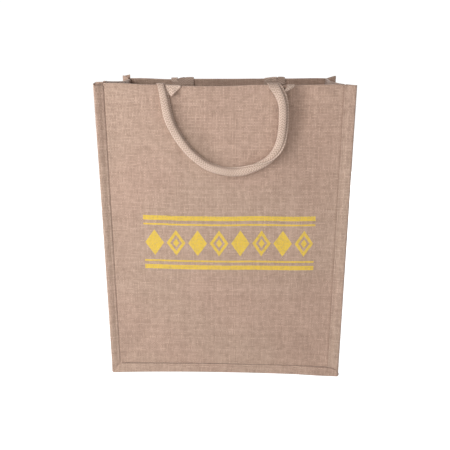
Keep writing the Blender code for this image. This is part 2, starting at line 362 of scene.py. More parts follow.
class ClothNodes(Nodes):
    """A material's nodes, and the place on the cloth that they start from.

    Attributes:
        across: metres across the cloth.
        along: metres along the cloth.
    """

    def __init__(self, tree: Tree) -> None:
        """Takes the material's tree."""
        super().__init__(tree)
        cloth_map = self.add("ShaderNodeUVMap", {"uv_map": CLOTH_MAP})
        place = self.add("ShaderNodeSeparateXYZ", values={0: cloth_map.outputs[0]})
        self.across, self.along = (self.value(place, axis) for axis in "XY")


@dataclass(frozen=True)
class Finish:
    """What a material is made from.

    Attributes:
        name: the material's name.
    """

    name: str

    def paint(self, nodes: ClothNodes) -> dict[str, object]:
        """Adds the finish's own nodes.

        Args:
            nodes: the material's nodes.

        Returns:
            What goes into the shader's sockets, by their names.
        """
        raise NotImplementedError

    def build(self) -> Material:
        """Makes the material.

        Returns:
            The material.
        """
        material = bpy.data.materials.new(self.name)
        material.use_nodes = True
        nodes = ClothNodes(material.node_tree)
        nodes.fill(material.node_tree.nodes["Principled BSDF"], self.paint(nodes))
        return material


@dataclass(frozen=True)
class Weave:
    """Yarn sizes of a plain weave, in metres, and how uneven it is.

    Attributes:
        warp: from one yarn to the next across the cloth.
        weft: the same along the cloth.
        half: half a yarn's width, as a share of the step between yarns.
        slub: how much a yarn's width changes along its length.
        drift: how far the yarns wander sideways, in yarns.
        crown: height of a yarn's round back.
        wave: how far a yarn goes up and down over the others.
        low: height down in the gaps.
    """

    warp: float = 0.0019
    weft: float = 0.0021
    half: float = 0.385
    slub: float = 0.34
    drift: float = 0.8
    crown: float = 0.62
    wave: float = 0.36
    low: float = -0.35

    def build(self, nodes: ClothNodes) -> dict[str, Value]:
        """Adds the weave's nodes.

        Args:
            nodes: the material's nodes.

        Returns:
            height, from low in the gaps to about 1 on the yarns, tone, from 0 to 1 with each yarn's own
            darkness, and fibre, from 0 to 1 with its fine streaks.
        """
        yarns = []
        across, along = nodes.across, nodes.along
        bent = [
            across / self.warp + (nodes.noise(across + 3.1, along, 14.0) - 0.5) * self.drift,
            along / self.weft + (nodes.noise(across, along + 7.7, 17.0) - 0.5) * self.drift,
        ]
        for own, other, own_metres, other_metres, seed, over in (
            (bent[0], bent[1], across, along, 1.3, 1.0),
            (bent[1], bent[0], along, across, 5.9, -1.0),
        ):
            number = own.floor()
            lane = number * 0.37 + seed
            thick = nodes.noise(other_metres, lane, 120.0) - 0.5
            half = self.half + thick * self.slub + (nodes.scatter(number, lane) - 0.5) * 0.08
            offset = (own.fract() - 0.5) / half
            profile = (1 - offset * offset).root()
            turn = 1 - (number / 2).fract() * 4
            wave = ((other - 0.5) * math.pi).cos() * turn * over
            back = profile * self.crown + wave * self.wave + thick * 0.2
            height = back - (1 - profile.rise(0.0, 0.12))
            mottle = nodes.noise(other_metres, lane + 4.0, 85.0)
            tone = nodes.scatter(number, lane + 11.0) * 0.34 + mottle * 0.70
            twist = own_metres + other_metres * 0.30
            streak = nodes.noise(other_metres * 0.10, twist, 5600.0)
            yarns.append((height, tone + thick * 0.30, streak))
        (warp_height, warp_tone, warp_streak), (weft_height, weft_tone, weft_streak) = yarns
        on_top = warp_height.above(weft_height)
        return {
            "height": warp_height.most(weft_height).most(self.low),
            "tone": weft_tone.to(warp_tone, on_top),
            "fibre": weft_streak.to(warp_streak, on_top),
        }


@dataclass(frozen=True)
class Frieze:
    """A plain printed band: a row of diamonds between two pairs of stripes.

    Attributes:
        low: height of its lower edge along the cloth.
        high: height of its upper edge.
        left: its left end across the cloth.
        right: its right end.
        step: from one diamond to the next.
        stripe: half the width of the outer stripes, and the unit of the next three.
        outer: where an outer stripe ends, in from the band's edge.
        inner: where an inner stripe starts and ends.
        clear: where the diamonds' tips lie.
        half_wide: half a diamond's width, as a share of step.
        ring: size of the hole in every other diamond, as a share of the diamond.
        core: size of the diamond in that hole.
        ink: the print's colour.
    """

    low: float = 0.178
    high: float = 0.262
    left: float = -0.120
    right: float = 0.136
    step: float = 0.032
    stripe: float = 0.0035
    outer: float = 2.0
    inner: tuple[float, float] = (3.4, 4.2)
    clear: float = 6.2
    half_wide: float = 0.44
    ring: float = 0.62
    core: float = 0.34
    ink: Colour = (0.78, 0.52, 0.030)

    def mask(self, nodes: ClothNodes) -> Value:
        """Where the ink lies.

        Args:
            nodes: the material's nodes.

        Returns:
            1 on the ink, and 0 elsewhere.
        """
        across = nodes.across
        middle = (self.low + self.high) / 2
        tall = (self.high - self.low) / 2
        from_middle = abs(nodes.along - middle)
        inside = (across - self.left).above(0.0) * (self.right - across).above(0.0)
        edge = tall - from_middle
        start, end = (self.stripe * place for place in self.inner)
        outer = edge.above(0.0) * (self.stripe * self.outer - edge).above(0.0)
        inner = (edge - start).above(0.0) * (end - edge).above(0.0)
        cell = (across - self.left) / self.step
        beside = abs(cell.fract() - 0.5) * self.step
        room = tall - self.stripe * self.clear
        size = beside / (self.step * self.half_wide) + from_middle / room
        solid, ring, core = ((limit - size).above(0.0) for limit in (1.0, self.ring, self.core))
        odd = (cell.floor() / 2).fract().above(0.25)
        diamond = (solid - ring * odd + core * odd).most(0.0)
        return (outer + inner + diamond).least(1.0) * inside


@dataclass(frozen=True)
class JuteCloth(Finish):
    """Woven jute, with a print where the cloth carries one.

    Attributes:
        pale: colour of the paler yarns.
        dark: colour of the darker yarns.
        gap: colour down between the yarns, partly the darker laminate seen through the gaps and partly
            painted shade.
        deep: colour of the painted shade down in the sewn creases and grooves.
        weave: the yarns' sizes.
        frieze: the print, or None.
        relief: metres that a weave's height of 1 stands for.
    """

    pale: Colour = (0.535, 0.372, 0.282)
    dark: Colour = (0.330, 0.215, 0.156)
    gap: Colour = (0.200, 0.120, 0.085)
    deep: Colour = (0.150, 0.066, 0.042)
    weave: Weave = Weave()
    frieze: Frieze | None = None
    relief: float = 0.00035

    def paint(self, nodes: ClothNodes) -> dict[str, object]:
        """Adds the cloth's nodes.

        Args:
            nodes: the material's nodes.

        Returns:
            What goes into the shader's sockets.
        """
        across, along = nodes.across, nodes.along
        cloth = self.weave.build(nodes)
        height, tone, fibre = cloth["height"], cloth["tone"], cloth["fibre"]
        patch = nodes.noise(across + 5.0, along + 9.0, 11.0, 2.0)
        shade = tone * 0.74 + fibre * 0.44 + (patch - 0.5) * 0.20 - 0.10
        colour = nodes.blend(shade.rise(0.0, 1.0), self.dark, self.pale)
        warm = nodes.noise(across + 2.0, along + 1.0, 6.0, 1.0).rise(0.35, 0.65)
        ruddy = nodes.blend(1.0, colour, (1.03, 0.975, 0.99), Blend.MULTIPLY)
        colour = nodes.blend(warm * 0.5, colour, ruddy)
        # Partly painted shade and partly the laminate's own darker colour: the lower the weave, the nearer to
        # the gap colour.
        depth = height.rise(self.weave.low, 0.75, 1.0, 0.0)
        colour = nodes.blend(depth * 0.80, colour, self.gap)
        if self.frieze:
            cover = height.rise(-0.20, 0.30) * nodes.noise(across, along + 3.0, 900.0).rise(0.16, 0.34)
            ink = self.frieze.mask(nodes) * cover * 0.94
            tinted = nodes.blend(fibre * 0.12 + (1 - tone) * 0.14, self.frieze.ink, self.dark)
            colour = nodes.blend(ink, colour, tinted)
        # Painted shade: the crease attribute darkens the cloth towards deep in the sewn creases and grooves.
        colour = nodes.blend(nodes.attribute("crease") * 0.45, colour, self.deep)
        normal = nodes.relief(height * 0.75 + fibre * 0.34, self.relief, 0.8)
        plain = {"Roughness": 0.92, "Sheen Weight": 0.25, "Specular IOR Level": 0.45}
        return {"Base Color": colour, "Normal": normal, **plain}


@dataclass(frozen=True)
class CottonTape(Finish):
    """Herringbone cotton tape.

    Attributes:
        rib: from one slanted rib to the next along the tape.
        column: width of the stretch of ribs that slant one way.
        pale: colour of the ribs.
        dark: colour between the ribs.
        deep: colour of the painted shade down in the sewn creases and over the flat ends.
        relief: metres that a rib's height of 1 stands for.
    """

    rib: float = 0.0036
    column: float = 0.0031
    pale: Colour = (0.655, 0.488, 0.392)
    dark: Colour = (0.370, 0.250, 0.188)
    deep: Colour = (0.150, 0.080, 0.055)
    relief: float = 0.0004

    def paint(self, nodes: ClothNodes) -> dict[str, object]:
        """Adds the tape's nodes.

        Args:
            nodes: the material's nodes.

        Returns:
            What goes into the shader's sockets.
        """
        across, along = nodes.across, nodes.along
        cell = across / self.column
        fold = abs((cell / 2).fract() - 0.5) * 2 * self.column
        rib = (along + fold * 0.95 + (nodes.noise(across, along, 60.0) - 0.5) * 0.0012) / self.rib
        ridge = (rib * math.tau).cos() * 0.5 + 0.5
        spine = abs(cell.fract() - 0.5).rise(0.40, 0.5)
        yarn = nodes.noise(across, along * 0.25, 2600.0)
        blotch = nodes.noise(across + 1.0, along + 2.0, 45.0, 2.0)
        shade = ridge * 0.62 + yarn * 0.30 + blotch * 0.36 - spine * 0.30 - 0.04
        colour = nodes.blend(shade.rise(0.0, 1.0), self.dark, self.pale)
        # Painted shade: the crease attribute darkens the tape towards deep at its sewn edges and over its
        # flat ends.
        colour = nodes.blend(nodes.attribute("crease") * 0.8, colour, self.deep)
        normal = nodes.relief(ridge * 0.75 + yarn * 0.35 - spine * 0.35, self.relief, 0.85)
        plain = {"Roughness": 0.88, "Sheen Weight": 0.15, "Specular IOR Level": 0.3}
        return {"Base Color": colour, "Normal": normal, **plain}


@dataclass(frozen=True)
class Thread(Finish):
    """Sewing thread or a loose fibre: twisted, with a little difference from place to place.

    Attributes:
        colour: its main colour.
        other: the colour that it varies to.
        grain: how many changes there are in a metre.
    """

    colour: Colour
    other: Colour
    grain: float = 900.0

    def paint(self, nodes: ClothNodes) -> dict[str, object]:
        """Adds the thread's nodes.

        Args:
            nodes: the material's nodes.

        Returns:
            What goes into the shader's sockets.
        """
        place = nodes.add("ShaderNodeTexCoord").outputs["Object"]
        noise = nodes.add("ShaderNodeTexNoise", values={"Vector": place, "Scale": self.grain, "Detail": 1.0})
        grain = nodes.value(noise, "Fac")
        colour = nodes.blend(grain.rise(0.35, 0.65), self.colour, self.other)
        return {"Base Color": colour, "Normal": nodes.relief(grain, 0.0001, 0.6), "Roughness": 0.8}


@dataclass(frozen=True)
class PaleFloor(Finish):
    """A floor that gives less light than it shows.

    Attributes:
        given: brightness that it lights the bag with.
        base: its own grey.
        glow: strength of its light.
    """

    given: float = 0.28
    base: float = 0.55
    glow: float = 0.90

    def paint(self, nodes: ClothNodes) -> dict[str, object]:
        """Adds the floor's nodes.

        Args:
            nodes: the material's nodes.

        Returns:
            What goes into the shader's sockets.
        """
        colour = nodes.blend(nodes.is_seen(), (self.given,) * 3, (1.0,) * 3)
        plain = {"Base Color": (*(self.base,) * 3, 1.0), "Roughness": 0.9, "Emission Strength": self.glow}
        return {"Emission Color": colour, **plain}


# ---- the bag's shape


@dataclass(frozen=True)
class Fold:
    """A soft trough in a panel, or a ridge where its depth is negative.

    Attributes:
        x: middle of the fold.
        z: middle of the fold.
        angle: its direction, in degrees from +X towards +Z.
        length: from where it has faded at one end to the same at the other.
        width: half of what it spans across.
        depth: how far it goes into the bag.
    """

    x: float
    z: float
    angle: float
    length: float
    width: float
    depth: float

    def at(self, x: Array, z: Array) -> Array:
        """How far the fold lies in at points of the panel."""
        turn = math.radians(self.angle)
        along = (x - self.x) * math.cos(turn) + (z - self.z) * math.sin(turn)
        aside = (z - self.z) * math.cos(turn) - (x - self.x) * math.sin(turn)
        return self.depth * bump(aside, self.width) * bump(along, self.length / 2)


class Side(Enum):
    """The bag's two faces, each with its direction along Y."""

    FRONT = -1
    BACK = 1


@dataclass(frozen=True)
class Face:
    """What differs between the front and the back.

    Attributes:
        side: which of the two it is.
        rim: pairs of x and the rim's height there.
        lean: how far the lips lean out at their edges: top left, left, base, right and top right.
        hollow: how far the base seam bows in at its middle.
        tops: how far the binding's left and right ends stand above the rim.
        folds: the panel's troughs and ridges.
    """

    side: Side
    rim: tuple[tuple[float, float], ...]
    lean: tuple[float, float, float, float, float]
    hollow: float
    tops: tuple[float, float]
    folds: tuple[Fold, ...]

    @property
    def name(self) -> str:
        """What its pieces' names start with."""
        return self.side.name.lower()

    @property
    def sign(self) -> int:
        """-1 at the front and 1 at the back, along Y."""
        return self.side.value


FRONT = Face(
    side=Side.FRONT,
    rim=(
        (-0.180, 0.4502), (-0.150, 0.4502), (-0.105, 0.4480), (-0.055, 0.4461), (0.000, 0.4461),
        (0.045, 0.4480), (0.100, 0.4472), (0.150, 0.4486), (0.180, 0.4472),
    ),
    lean=(0.0072, 0.0041, 0.0030, 0.0032, 0.0030),
    hollow=0.0042,
    tops=(-0.0018, 0.0006),
    folds=(
        Fold(0.107, 0.418, 86, 0.105, 0.0165, 0.0125),
        Fold(0.076, 0.405, 86, 0.120, 0.016, -0.0010),
        Fold(0.136, 0.385, 87, 0.170, 0.034, 0.0034),
        Fold(-0.032, 0.386, -50, 0.150, 0.019, 0.0042),
        Fold(0.030, 0.390, 95, 0.110, 0.030, 0.0008),
        Fold(0.004, 0.060, 88, 0.070, 0.012, 0.0008),
        Fold(-0.125, 0.130, 8, 0.090, 0.010, 0.0007),
        Fold(-0.120, 0.098, -6, 0.110, 0.009, 0.0006),
        Fold(0.110, 0.090, 128, 0.120, 0.014, 0.0008),
        Fold(0.060, 0.290, 100, 0.160, 0.024, 0.0007),
        Fold(-0.090, 0.300, 80, 0.180, 0.030, -0.0008),
    ),
)
BACK = Face(
    side=Side.BACK,
    rim=(
        (-0.180, 0.4490), (-0.150, 0.4492), (-0.100, 0.4476), (-0.050, 0.4483), (0.000, 0.4483),
        (0.045, 0.4487), (0.100, 0.4490), (0.150, 0.4496), (0.180, 0.4490),
    ),
    lean=(0.0040, 0.0036, 0.0022, 0.0036, 0.0042),
    hollow=0.0035,
    tops=(0.0040, 0.0040),
    folds=(
        Fold(-0.070, 0.380, 96, 0.140, 0.020, 0.0012),
        Fold(0.060, 0.110, 60, 0.120, 0.016, 0.0009),
        Fold(-0.110, 0.100, 12, 0.110, 0.010, 0.0007),
        Fold(0.100, 0.300, 82, 0.170, 0.026, 0.0008),
    ),
)


@dataclass(frozen=True)
class BagShape:
    """Where the standing bag's cloth lies. Its sizes repeat the solids' own.

    Attributes:
        height: the rim above the surface.
        half_depth: middle plane to a panel's middle surface at its seams.
        seams: middle plane to the left and the right side seam at the base.
        flare: how much further out both lie at the rim.
        lip_edge: middle plane to the outer edge of the bound lips at the rim.
        lip_taper: how much further in the same edge lies at the base.
        lip_lift: height of the lips' lower edge.
        base: height of the base seams.
        corner: radius of the seams at the bottom corners.
        corner_power: how square the lips' outer corners are: the smaller, the squarer.
        layer: from the middle of one sewn layer to the middle of the next.
        hem: depth of the hems inside the rim.
        hem_inset: how far the panels' hems stop short of the side seams.
        cut_in: how far the cloths' cut edges stop short of the lips' edges.
        turn: radius of the gusset's turn into its allowance.
        belly: how far the panels bulge at their middles.
        hollow_reach: height over which a panel comes back from its base seam's bow.
        crease: depth of the slanting creases that end at the bottom corners.
        crease_width: their half width.
        crease_reach: how far from the corners they end.
        crease_slope: their run out from the side seam for each step up.
        crease_start: how far from the seams they are at full depth.
        puff: how far the panels' cloth swells beside the seams.
        pucker: height of the puckers there.
        pucker_step: from one pucker to the next.
    """

    height: float = 0.448
    half_depth: float = 0.0945
    seams: tuple[float, float] = (0.1674, 0.1637)
    flare: float = 0.0009
    lip_edge: float = 0.1810
    lip_taper: float = 0.0010
    lip_lift: float = 0.0001
    base: float = 0.0145
    corner: float = 0.0030
    corner_power: float = 0.11
    layer: float = 0.00165
    hem: float = 0.038
    hem_inset: float = 0.0016
    cut_in: float = 0.0033
    turn: float = 0.0008
    belly: float = 0.0022
    hollow_reach: float = 0.055
    crease: float = 0.0014
    crease_width: float = 0.011
    crease_reach: float = 0.110
    crease_slope: float = 0.75
    crease_start: float = 0.010
    puff: float = 0.0012
    pucker: float = 0.00022
    pucker_step: float = 0.0095

    def rim_height(self, face: Face, x: Array) -> Array:
        """Height of a panel's rim, eased between the points of the face's list.

        Args:
            face: front or back.
            x: places across the bag.

        Returns:
            The heights there.
        """
        places, heights = (np.array(values) for values in zip(*face.rim))
        x = np.clip(x, places[0], places[-1])
        after = np.clip(np.searchsorted(places, x), 1, len(places) - 1)
        share = (x - places[after - 1]) / (places[after] - places[after - 1])
        return mix(heights[after - 1], heights[after], ease(share))

    def seam(self, x: Array, z: Array) -> Array:
        """Distance from the middle plane to the side seam on x's side, at height z."""
        return np.where(x < 0, *self.seams) + self.flare * clamp(z / self.height)

    def outer(self, z: Array) -> Array:
        """Distance from the middle plane to the lips' outer edge, at height z."""
        return self.lip_edge - self.lip_taper * (1 - clamp(z / self.height))

    def lip_lean(self, face: Face, x: Array, z: Array) -> Array:
        """How far the lips lean out of the panel's plane at points on them, and 0 on the panel.

        Args:
            face: front or back.
            x: the points' places across the bag.
            z: their heights.

        Returns:
            The distances.
        """
        edge = self.seam(x, z)
        aside = clamp((abs(x) - edge) / (self.outer(z) - edge))
        below = clamp((self.base - z) / self.base)
        top_left, left, base, right, top_right = face.lean
        low, top = np.where(x < 0, left, right), np.where(x < 0, top_left, top_right)
        side = mix(low, top, clamp(z / self.height) ** 3)
        under = mix(base, low, clamp(abs(x) / edge) ** 4)
        return np.cbrt((aside * side) ** 3 + (below * under) ** 3)

    def panel_depth(self, face: Face, x: Array, z: Array) -> Array:
        """Distance from the bag's middle plane to a panel's middle surface.

        Args:
            face: front or back.
            x: the points' places across the bag.
            z: their heights.

        Returns:
            The distances.
        """
        edge = self.seam(x, z)
        inside = 1 - clamp(abs(x) / edge) ** 2
        up = clamp((z - self.base) / (self.height - self.base))
        belly = self.belly * inside * np.sin(np.pi * up)
        hollow = face.hollow * inside * np.exp(-np.maximum(z, 0) / self.hollow_reach)
        from_side, from_base = edge - abs(x), z - self.base
        slope = math.hypot(1, self.crease_slope)
        off = (from_side - self.crease_slope * from_base) / slope
        along = clamp(np.hypot(from_side, from_base) / self.crease_reach)
        on_panel = clamp(from_side / self.crease_start) * clamp(from_base / self.crease_start)
        crease = self.crease * bump(off, self.crease_width) * np.sin(np.pi * along) * on_panel
        folds = sum(fold.at(x, z) for fold in face.folds) * clamp(from_side / 0.03) * clamp(from_base / 0.02)
        return self.half_depth + belly - hollow - crease - folds + self.lip_lean(face, x, z)

    def puckers(self, x: Array, z: Array) -> Array:
        """How far the sewing pushes a panel's cloth out just inside its seams.

        Args:
            x: the points' places across the bag.
            z: their heights.

        Returns:
            The distances.
        """
        found = 0.0
        side_share = np.where(x < 0, 1.0, 0.35)
        side_seam = self.seam(x, z) - abs(x), z, x, side_share
        base_seam = z - self.base, x, z, 0.8
        for distance, run, phase, full in (side_seam, base_seam):
            near = clamp(distance / 0.0035)
            ripple = np.sin(math.tau * run / self.pucker_step + 2.0 * np.sin(run * 61.0) + np.sign(phase))
            found = found + ripple * self.pucker * near * bump(distance, 0.009) * (distance > 0)
            rise = clamp((distance - 0.0003) / 0.0010) * bump(distance - 0.001, 0.006)
            found = found + self.puff * full * rise * (distance > 0)
        return found

    def stations(self, station: Array, top: Array) -> tuple[Array, Array]:
        """Points along the U of the seams.

        Args:
            station: 0 to 1 down the left side, to 2 round the left bottom corner, to 3 along the base, to 4
                round the right corner and to 5 up the right side.
            top: height at which the sides end.

        Returns:
            The seam's points and the lip's outer points, each with x and z on the last axis.
        """
        mirrored = station > BASE_MIDDLE
        share = np.where(mirrored, 5 - station, station)
        sign = np.where(mirrored, 1.0, -1.0)
        level = self.base + self.corner
        start = np.where(mirrored, self.seams[1], self.seams[0]) - self.corner
        other = np.where(mirrored, self.seams[0], self.seams[1]) - self.corner
        z_side = mix(top, level, clamp(share))
        turn = np.radians(90 * clamp(share - 1))
        cos, sin = np.cos(turn), np.sin(turn)
        reach, drop = self.outer(level) - start, level - self.lip_lift
        x_base = mix(start, (start - other) / 2, clamp((share - 2) / 0.5))
        side, corner = share <= 1, share <= 2
        power = self.corner_power
        near_x = np.where(side, self.seam(sign, z_side), np.where(corner, start + self.corner * cos, x_base))
        near_z = np.where(side, z_side, np.where(corner, level - self.corner * sin, self.base))
        round_x = np.where(corner, start + reach * abs(cos) ** power, x_base)
        far_x = np.where(side, self.outer(z_side), round_x)
        far_z = np.where(side, z_side, np.where(corner, level - drop * abs(sin) ** power, self.lip_lift))
        return np.stack([sign * near_x, near_z], -1), np.stack([sign * far_x, far_z], -1)

    def on_lip(self, face: Face, station: Array, top: Array, out: Array, forward: Array) -> Array:
        """Points of the sewn lips.

        Args:
            face: front or back.
            station: place along the seams' U.
            top: height at which the sides end.
            out: distance out from the seam, counted back from the lip's outer edge if negative.
            forward: distance forward of the panel's middle surface.

        Returns:
            The points, on the last axis.
        """
        near, far = self.stations(station, top)
        reach = np.linalg.norm(far - near, axis=-1)
        share = (np.where(out > -0.001, out, reach + out) / reach)[..., None]
        flat = mix(near, far, share)
        x, z = flat[..., 0], flat[..., 1]
        return np.stack([x, face.sign * (self.panel_depth(face, x, z) + forward), z], -1)


SHAPE = BagShape()
PAST = 1.0001  # just past a seam or the rim, which lie at 1 of a grid's columns and rows


# ---- making objects


@dataclass
class ClothGrid:
    """A stretch of a cloth's middle surface.

    Attributes:
        points: the grid's points, as rows by columns by 3.
        cloth: metres across and along the cloth at each, as rows by columns by 2.
        crease: how much painted shade darkens each point in a sewn crease, or None.
        kept: which of the grid's faces are there, or None for all.
    """

    points: Array
    cloth: Array
    crease: Array | None = None
    kept: Array | None = None

    def faces(self) -> Array:
        """The corners of each face that is there, as numbers of the grid's points."""
        rows, columns = self.points.shape[:2]
        number = np.arange(rows * columns).reshape(rows, columns)
        corners = np.stack([number[:-1, :-1], number[:-1, 1:], number[1:, 1:], number[1:, :-1]], -1)
        return corners.reshape(-1, 4) if self.kept is None else corners[self.kept]

    def flat_area(self) -> float:
        """Area that the stretch had when it was cut."""
        corners = self.cloth.reshape(-1, 2)[self.faces()]
        first, second = corners[:, 2] - corners[:, 0], corners[:, 3] - corners[:, 1]
        return float(np.sum(abs(first[:, 0] * second[:, 1] - first[:, 1] * second[:, 0])) / 2)


def without(bad: Array) -> Array:
    """Which faces of a grid have none of the bad points at a corner."""
    return ~(bad[:-1, :-1] | bad[:-1, 1:] | bad[1:, 1:] | bad[1:, :-1])


def mark_cloth(mesh: Mesh, cloth: Array, crease: Array) -> None:
    """Gives a mesh its cloth map and its crease attribute of painted shade.

    Args:
        mesh: the mesh.
        cloth: metres across and along the cloth at each corner of each face.
        crease: how much painted shade darkens each point in a sewn crease.
    """
    layer = mesh.uv_layers.new(name=CLOTH_MAP)
    layer.data.foreach_set("uv", cloth.astype(np.float32).ravel())
    attribute = mesh.attributes.new("crease", "FLOAT", "POINT")
    attribute.data.foreach_set("value", crease.astype(np.float32).ravel())


def grid_mesh(name: str, grids: list[ClothGrid], flipped: bool = False) -> Mesh:
    """One mesh of several stretches of cloth, sewn together where their points meet.

    Args:
        name: the mesh's name.
        grids: the stretches.
        flipped: turns the faces over.

    Returns:
        The mesh, with its cloth map and its crease attribute of painted shade.
    """
    points, cloth, crease, faces, start = [], [], [], [], 0
    for grid in grids:
        points.append(grid.points.reshape(-1, 3))
        cloth.append(grid.cloth.reshape(-1, 2))
        shade = np.zeros(grid.points.shape[:2]) if grid.crease is None else grid.crease
        crease.append(shade.reshape(-1))
        faces.append(grid.faces() + start)
        start += len(points[-1])
    points, cloth, crease, faces = (np.concatenate(part) for part in (points, cloth, crease, faces))
    if flipped:
        faces = faces[:, ::-1]
    _, first, joined = np.unique(np.round(points, 6), axis=0, return_index=True, return_inverse=True)
    joined = joined.reshape(-1)[faces]
    used, joined = np.unique(joined, return_inverse=True)
    mesh = bpy.data.meshes.new(name)
    mesh.from_pydata(points[first][used], [], joined.reshape(-1, 4).tolist())
    mark_cloth(mesh, cloth[faces.reshape(-1)], crease[first][used])
    mesh.validate()
    return mesh


def put(name: str, data: bpy.types.ID) -> Object:
    """Puts a mesh, a lamp or a camera in the scene."""
    made = bpy.data.objects.new(name, data)
    bpy.context.scene.collection.objects.link(made)
    return made


def put_mesh(name: str, mesh: Mesh, material: Material) -> Object:
    """Puts a mesh in the scene, dressed and shaded smooth.

    Args:
        name: the object's name.
        mesh: its mesh.
        material: its finish.

    Returns:
        The object.
    """
    mesh.materials.append(material)
    mesh.shade_smooth()
    return put(name, mesh)


def settle(made: Object) -> Object:
    """Turns an object with modifiers into a plain mesh.

    Args:
        made: the object.

    Returns:
        The same object.
    """
    name = made.name
    depsgraph = bpy.context.evaluated_depsgraph_get()
    mesh = bpy.data.meshes.new_from_object(made.evaluated_get(depsgraph), depsgraph=depsgraph)
    made.modifiers.clear()
    spare, made.data = made.data, mesh
    bpy.data.meshes.remove(spare)
    mesh.name = name
    mesh.shade_smooth()
    return made


def sewn_sheet(
    name: str, grids: list[ClothGrid], material: Material, thickness: float, flipped: bool = False
) -> Object:
    """A cloth piece with its real thickness.

    Args:
        name: the piece's name.
        grids: its stretches.
        material: its finish.
        thickness: of the cloth.
        flipped: turns its faces over.

    Returns:
        The piece.
    """
    made = put_mesh(name, grid_mesh(name, grids, flipped), material)
    solid = made.modifiers.new("thickness", "SOLIDIFY")
    solid.thickness = thickness
    solid.offset = 0.0
    solid.use_even_offset = True
    return settle(made)


def join(objects: list[Object]) -> Object:
    """Joins objects into the first.

    Args:
        objects: the objects.

    Returns:
        The first.
    """
    for made in bpy.context.scene.objects:
        made.select_set(made in objects)
    bpy.context.view_layer.objects.active = objects[0]
    bpy.ops.object.join()
    return objects[0]


def report(made: Object) -> None:
    """Logs a finished piece."""
    faces = made.data.polygons
    triangles = sum(len(face.vertices) - 2 for face in faces)
    LOG.info("%s: %d faces, %d triangles", made.name, len(faces), triangles)


def register(made: Object, slot: str, *nodes: str) -> Object:
    """Ties a finished piece to the body.

    Args:
        made: the piece.
        slot: not used.
        nodes: the solids that it stands for.

    Returns:
        The piece.
    """
    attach(made, BODY)
    if nodes:
        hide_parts(*nodes)
    report(made)
    return made


# ---- cloth pieces


@dataclass(frozen=True)
class Panel:
    """A front or back panel: hem, panel and seam allowances in one cloth.

    Attributes:
        face: front or back.
        cloth: its finish.
        steps: faces across and up between the seams.
        thickness: of the cloth.
        seam_shade: how much painted shade darkens its creases at the base, the left and the right seam.
    """

    face: Face
    cloth: JuteCloth
    steps: tuple[int, int] = (134, 172)
    thickness: float = 0.0010
    seam_shade: tuple[float, float, float] = (0.1, 0.8, 0.0)

    def grid(self) -> ClothGrid:
        """Bends the cloth to its place.

        Its columns run from -2 to 2, with the side seams at -1 and 1. Its rows run from -1, the lower cut
        edge, over 0, the base seam, and 1, the rim, to 2, the far side of the hem's fold, and 3, its edge.

        Returns:
            The cloth.
        """
        across, up = self.steps
        columns = spaced((-2, 0), (-1, 5), (-0.964, 8), (0.964, across), (1, 8), (2, 5))
        column, row = np.meshgrid(columns, spaced((-1, 0), (0, 6), (0.013, 8), (1, up), (2, 8), (3, 15)))
        shape, face = SHAPE, self.face
        beyond = np.maximum(abs(column) - 1, 0)
        past = clamp(row - 1)
        fold = shape.layer / 2
        lip_z = mix(shape.base, shape.cut_in, -row)
        rough_z = np.where(row > 0, mix(shape.base, shape.height, clamp(row)), lip_z)
        edge = shape.seam(column, rough_z)
        cut = shape.outer(rough_z) - shape.cut_in
        within = column * (edge - shape.hem_inset * past)
        x = np.where(beyond > 0, np.sign(column) * mix(edge, cut, beyond), within)
        top = shape.rim_height(face, x) - fold
        hem = shape.hem * np.maximum(row - 2, 0)
        z = np.where(row > 0, mix(shape.base, top, clamp(row)), rough_z)
        z = np.where(row > 1, top + fold * np.sin(np.pi * past) - hem, z)
        inward = fold * (1 - np.cos(np.pi * past))
        y = face.sign * (shape.panel_depth(face, x, z) + shape.puckers(x, z) - inward)
        side = shape.seams[0]
        cloth_x = np.sign(column) * (np.minimum(abs(column), 1) * side + beyond * (cut - side))
        cloth_y = rough_z + fold * np.pi * past + hem
        from_side, from_base = edge - abs(x), z - shape.base
        # Painted shade just inside the seams, at the strength given for each seam.
        base_shade, left_shade, right_shade = self.seam_shade
        strength = np.where(from_side > from_base, base_shade, np.where(x < 0, left_shade, right_shade))
        inside = np.maximum(np.minimum(from_side, from_base), 0)
        crease = bump(inside, 0.0008) * (row < 1.5) * strength
        kept = without((abs(column) > PAST) & (row > PAST))
        return ClothGrid(np.stack([x, y, z], -1), np.stack([cloth_x, cloth_y], -1), crease, kept)

    def build(self) -> Object:
        """Makes and dresses the panel.

        Returns:
            The panel.
        """
        name = self.face.name
        grid = self.grid()
        flipped = self.face.side is Side.BACK
        made = sewn_sheet(f"{name}_panel_cloth", [grid], self.cloth.build(), self.thickness, flipped)
        area = grid.flat_area()
        return register(made, "jute_cloth", f"{name}_panel")


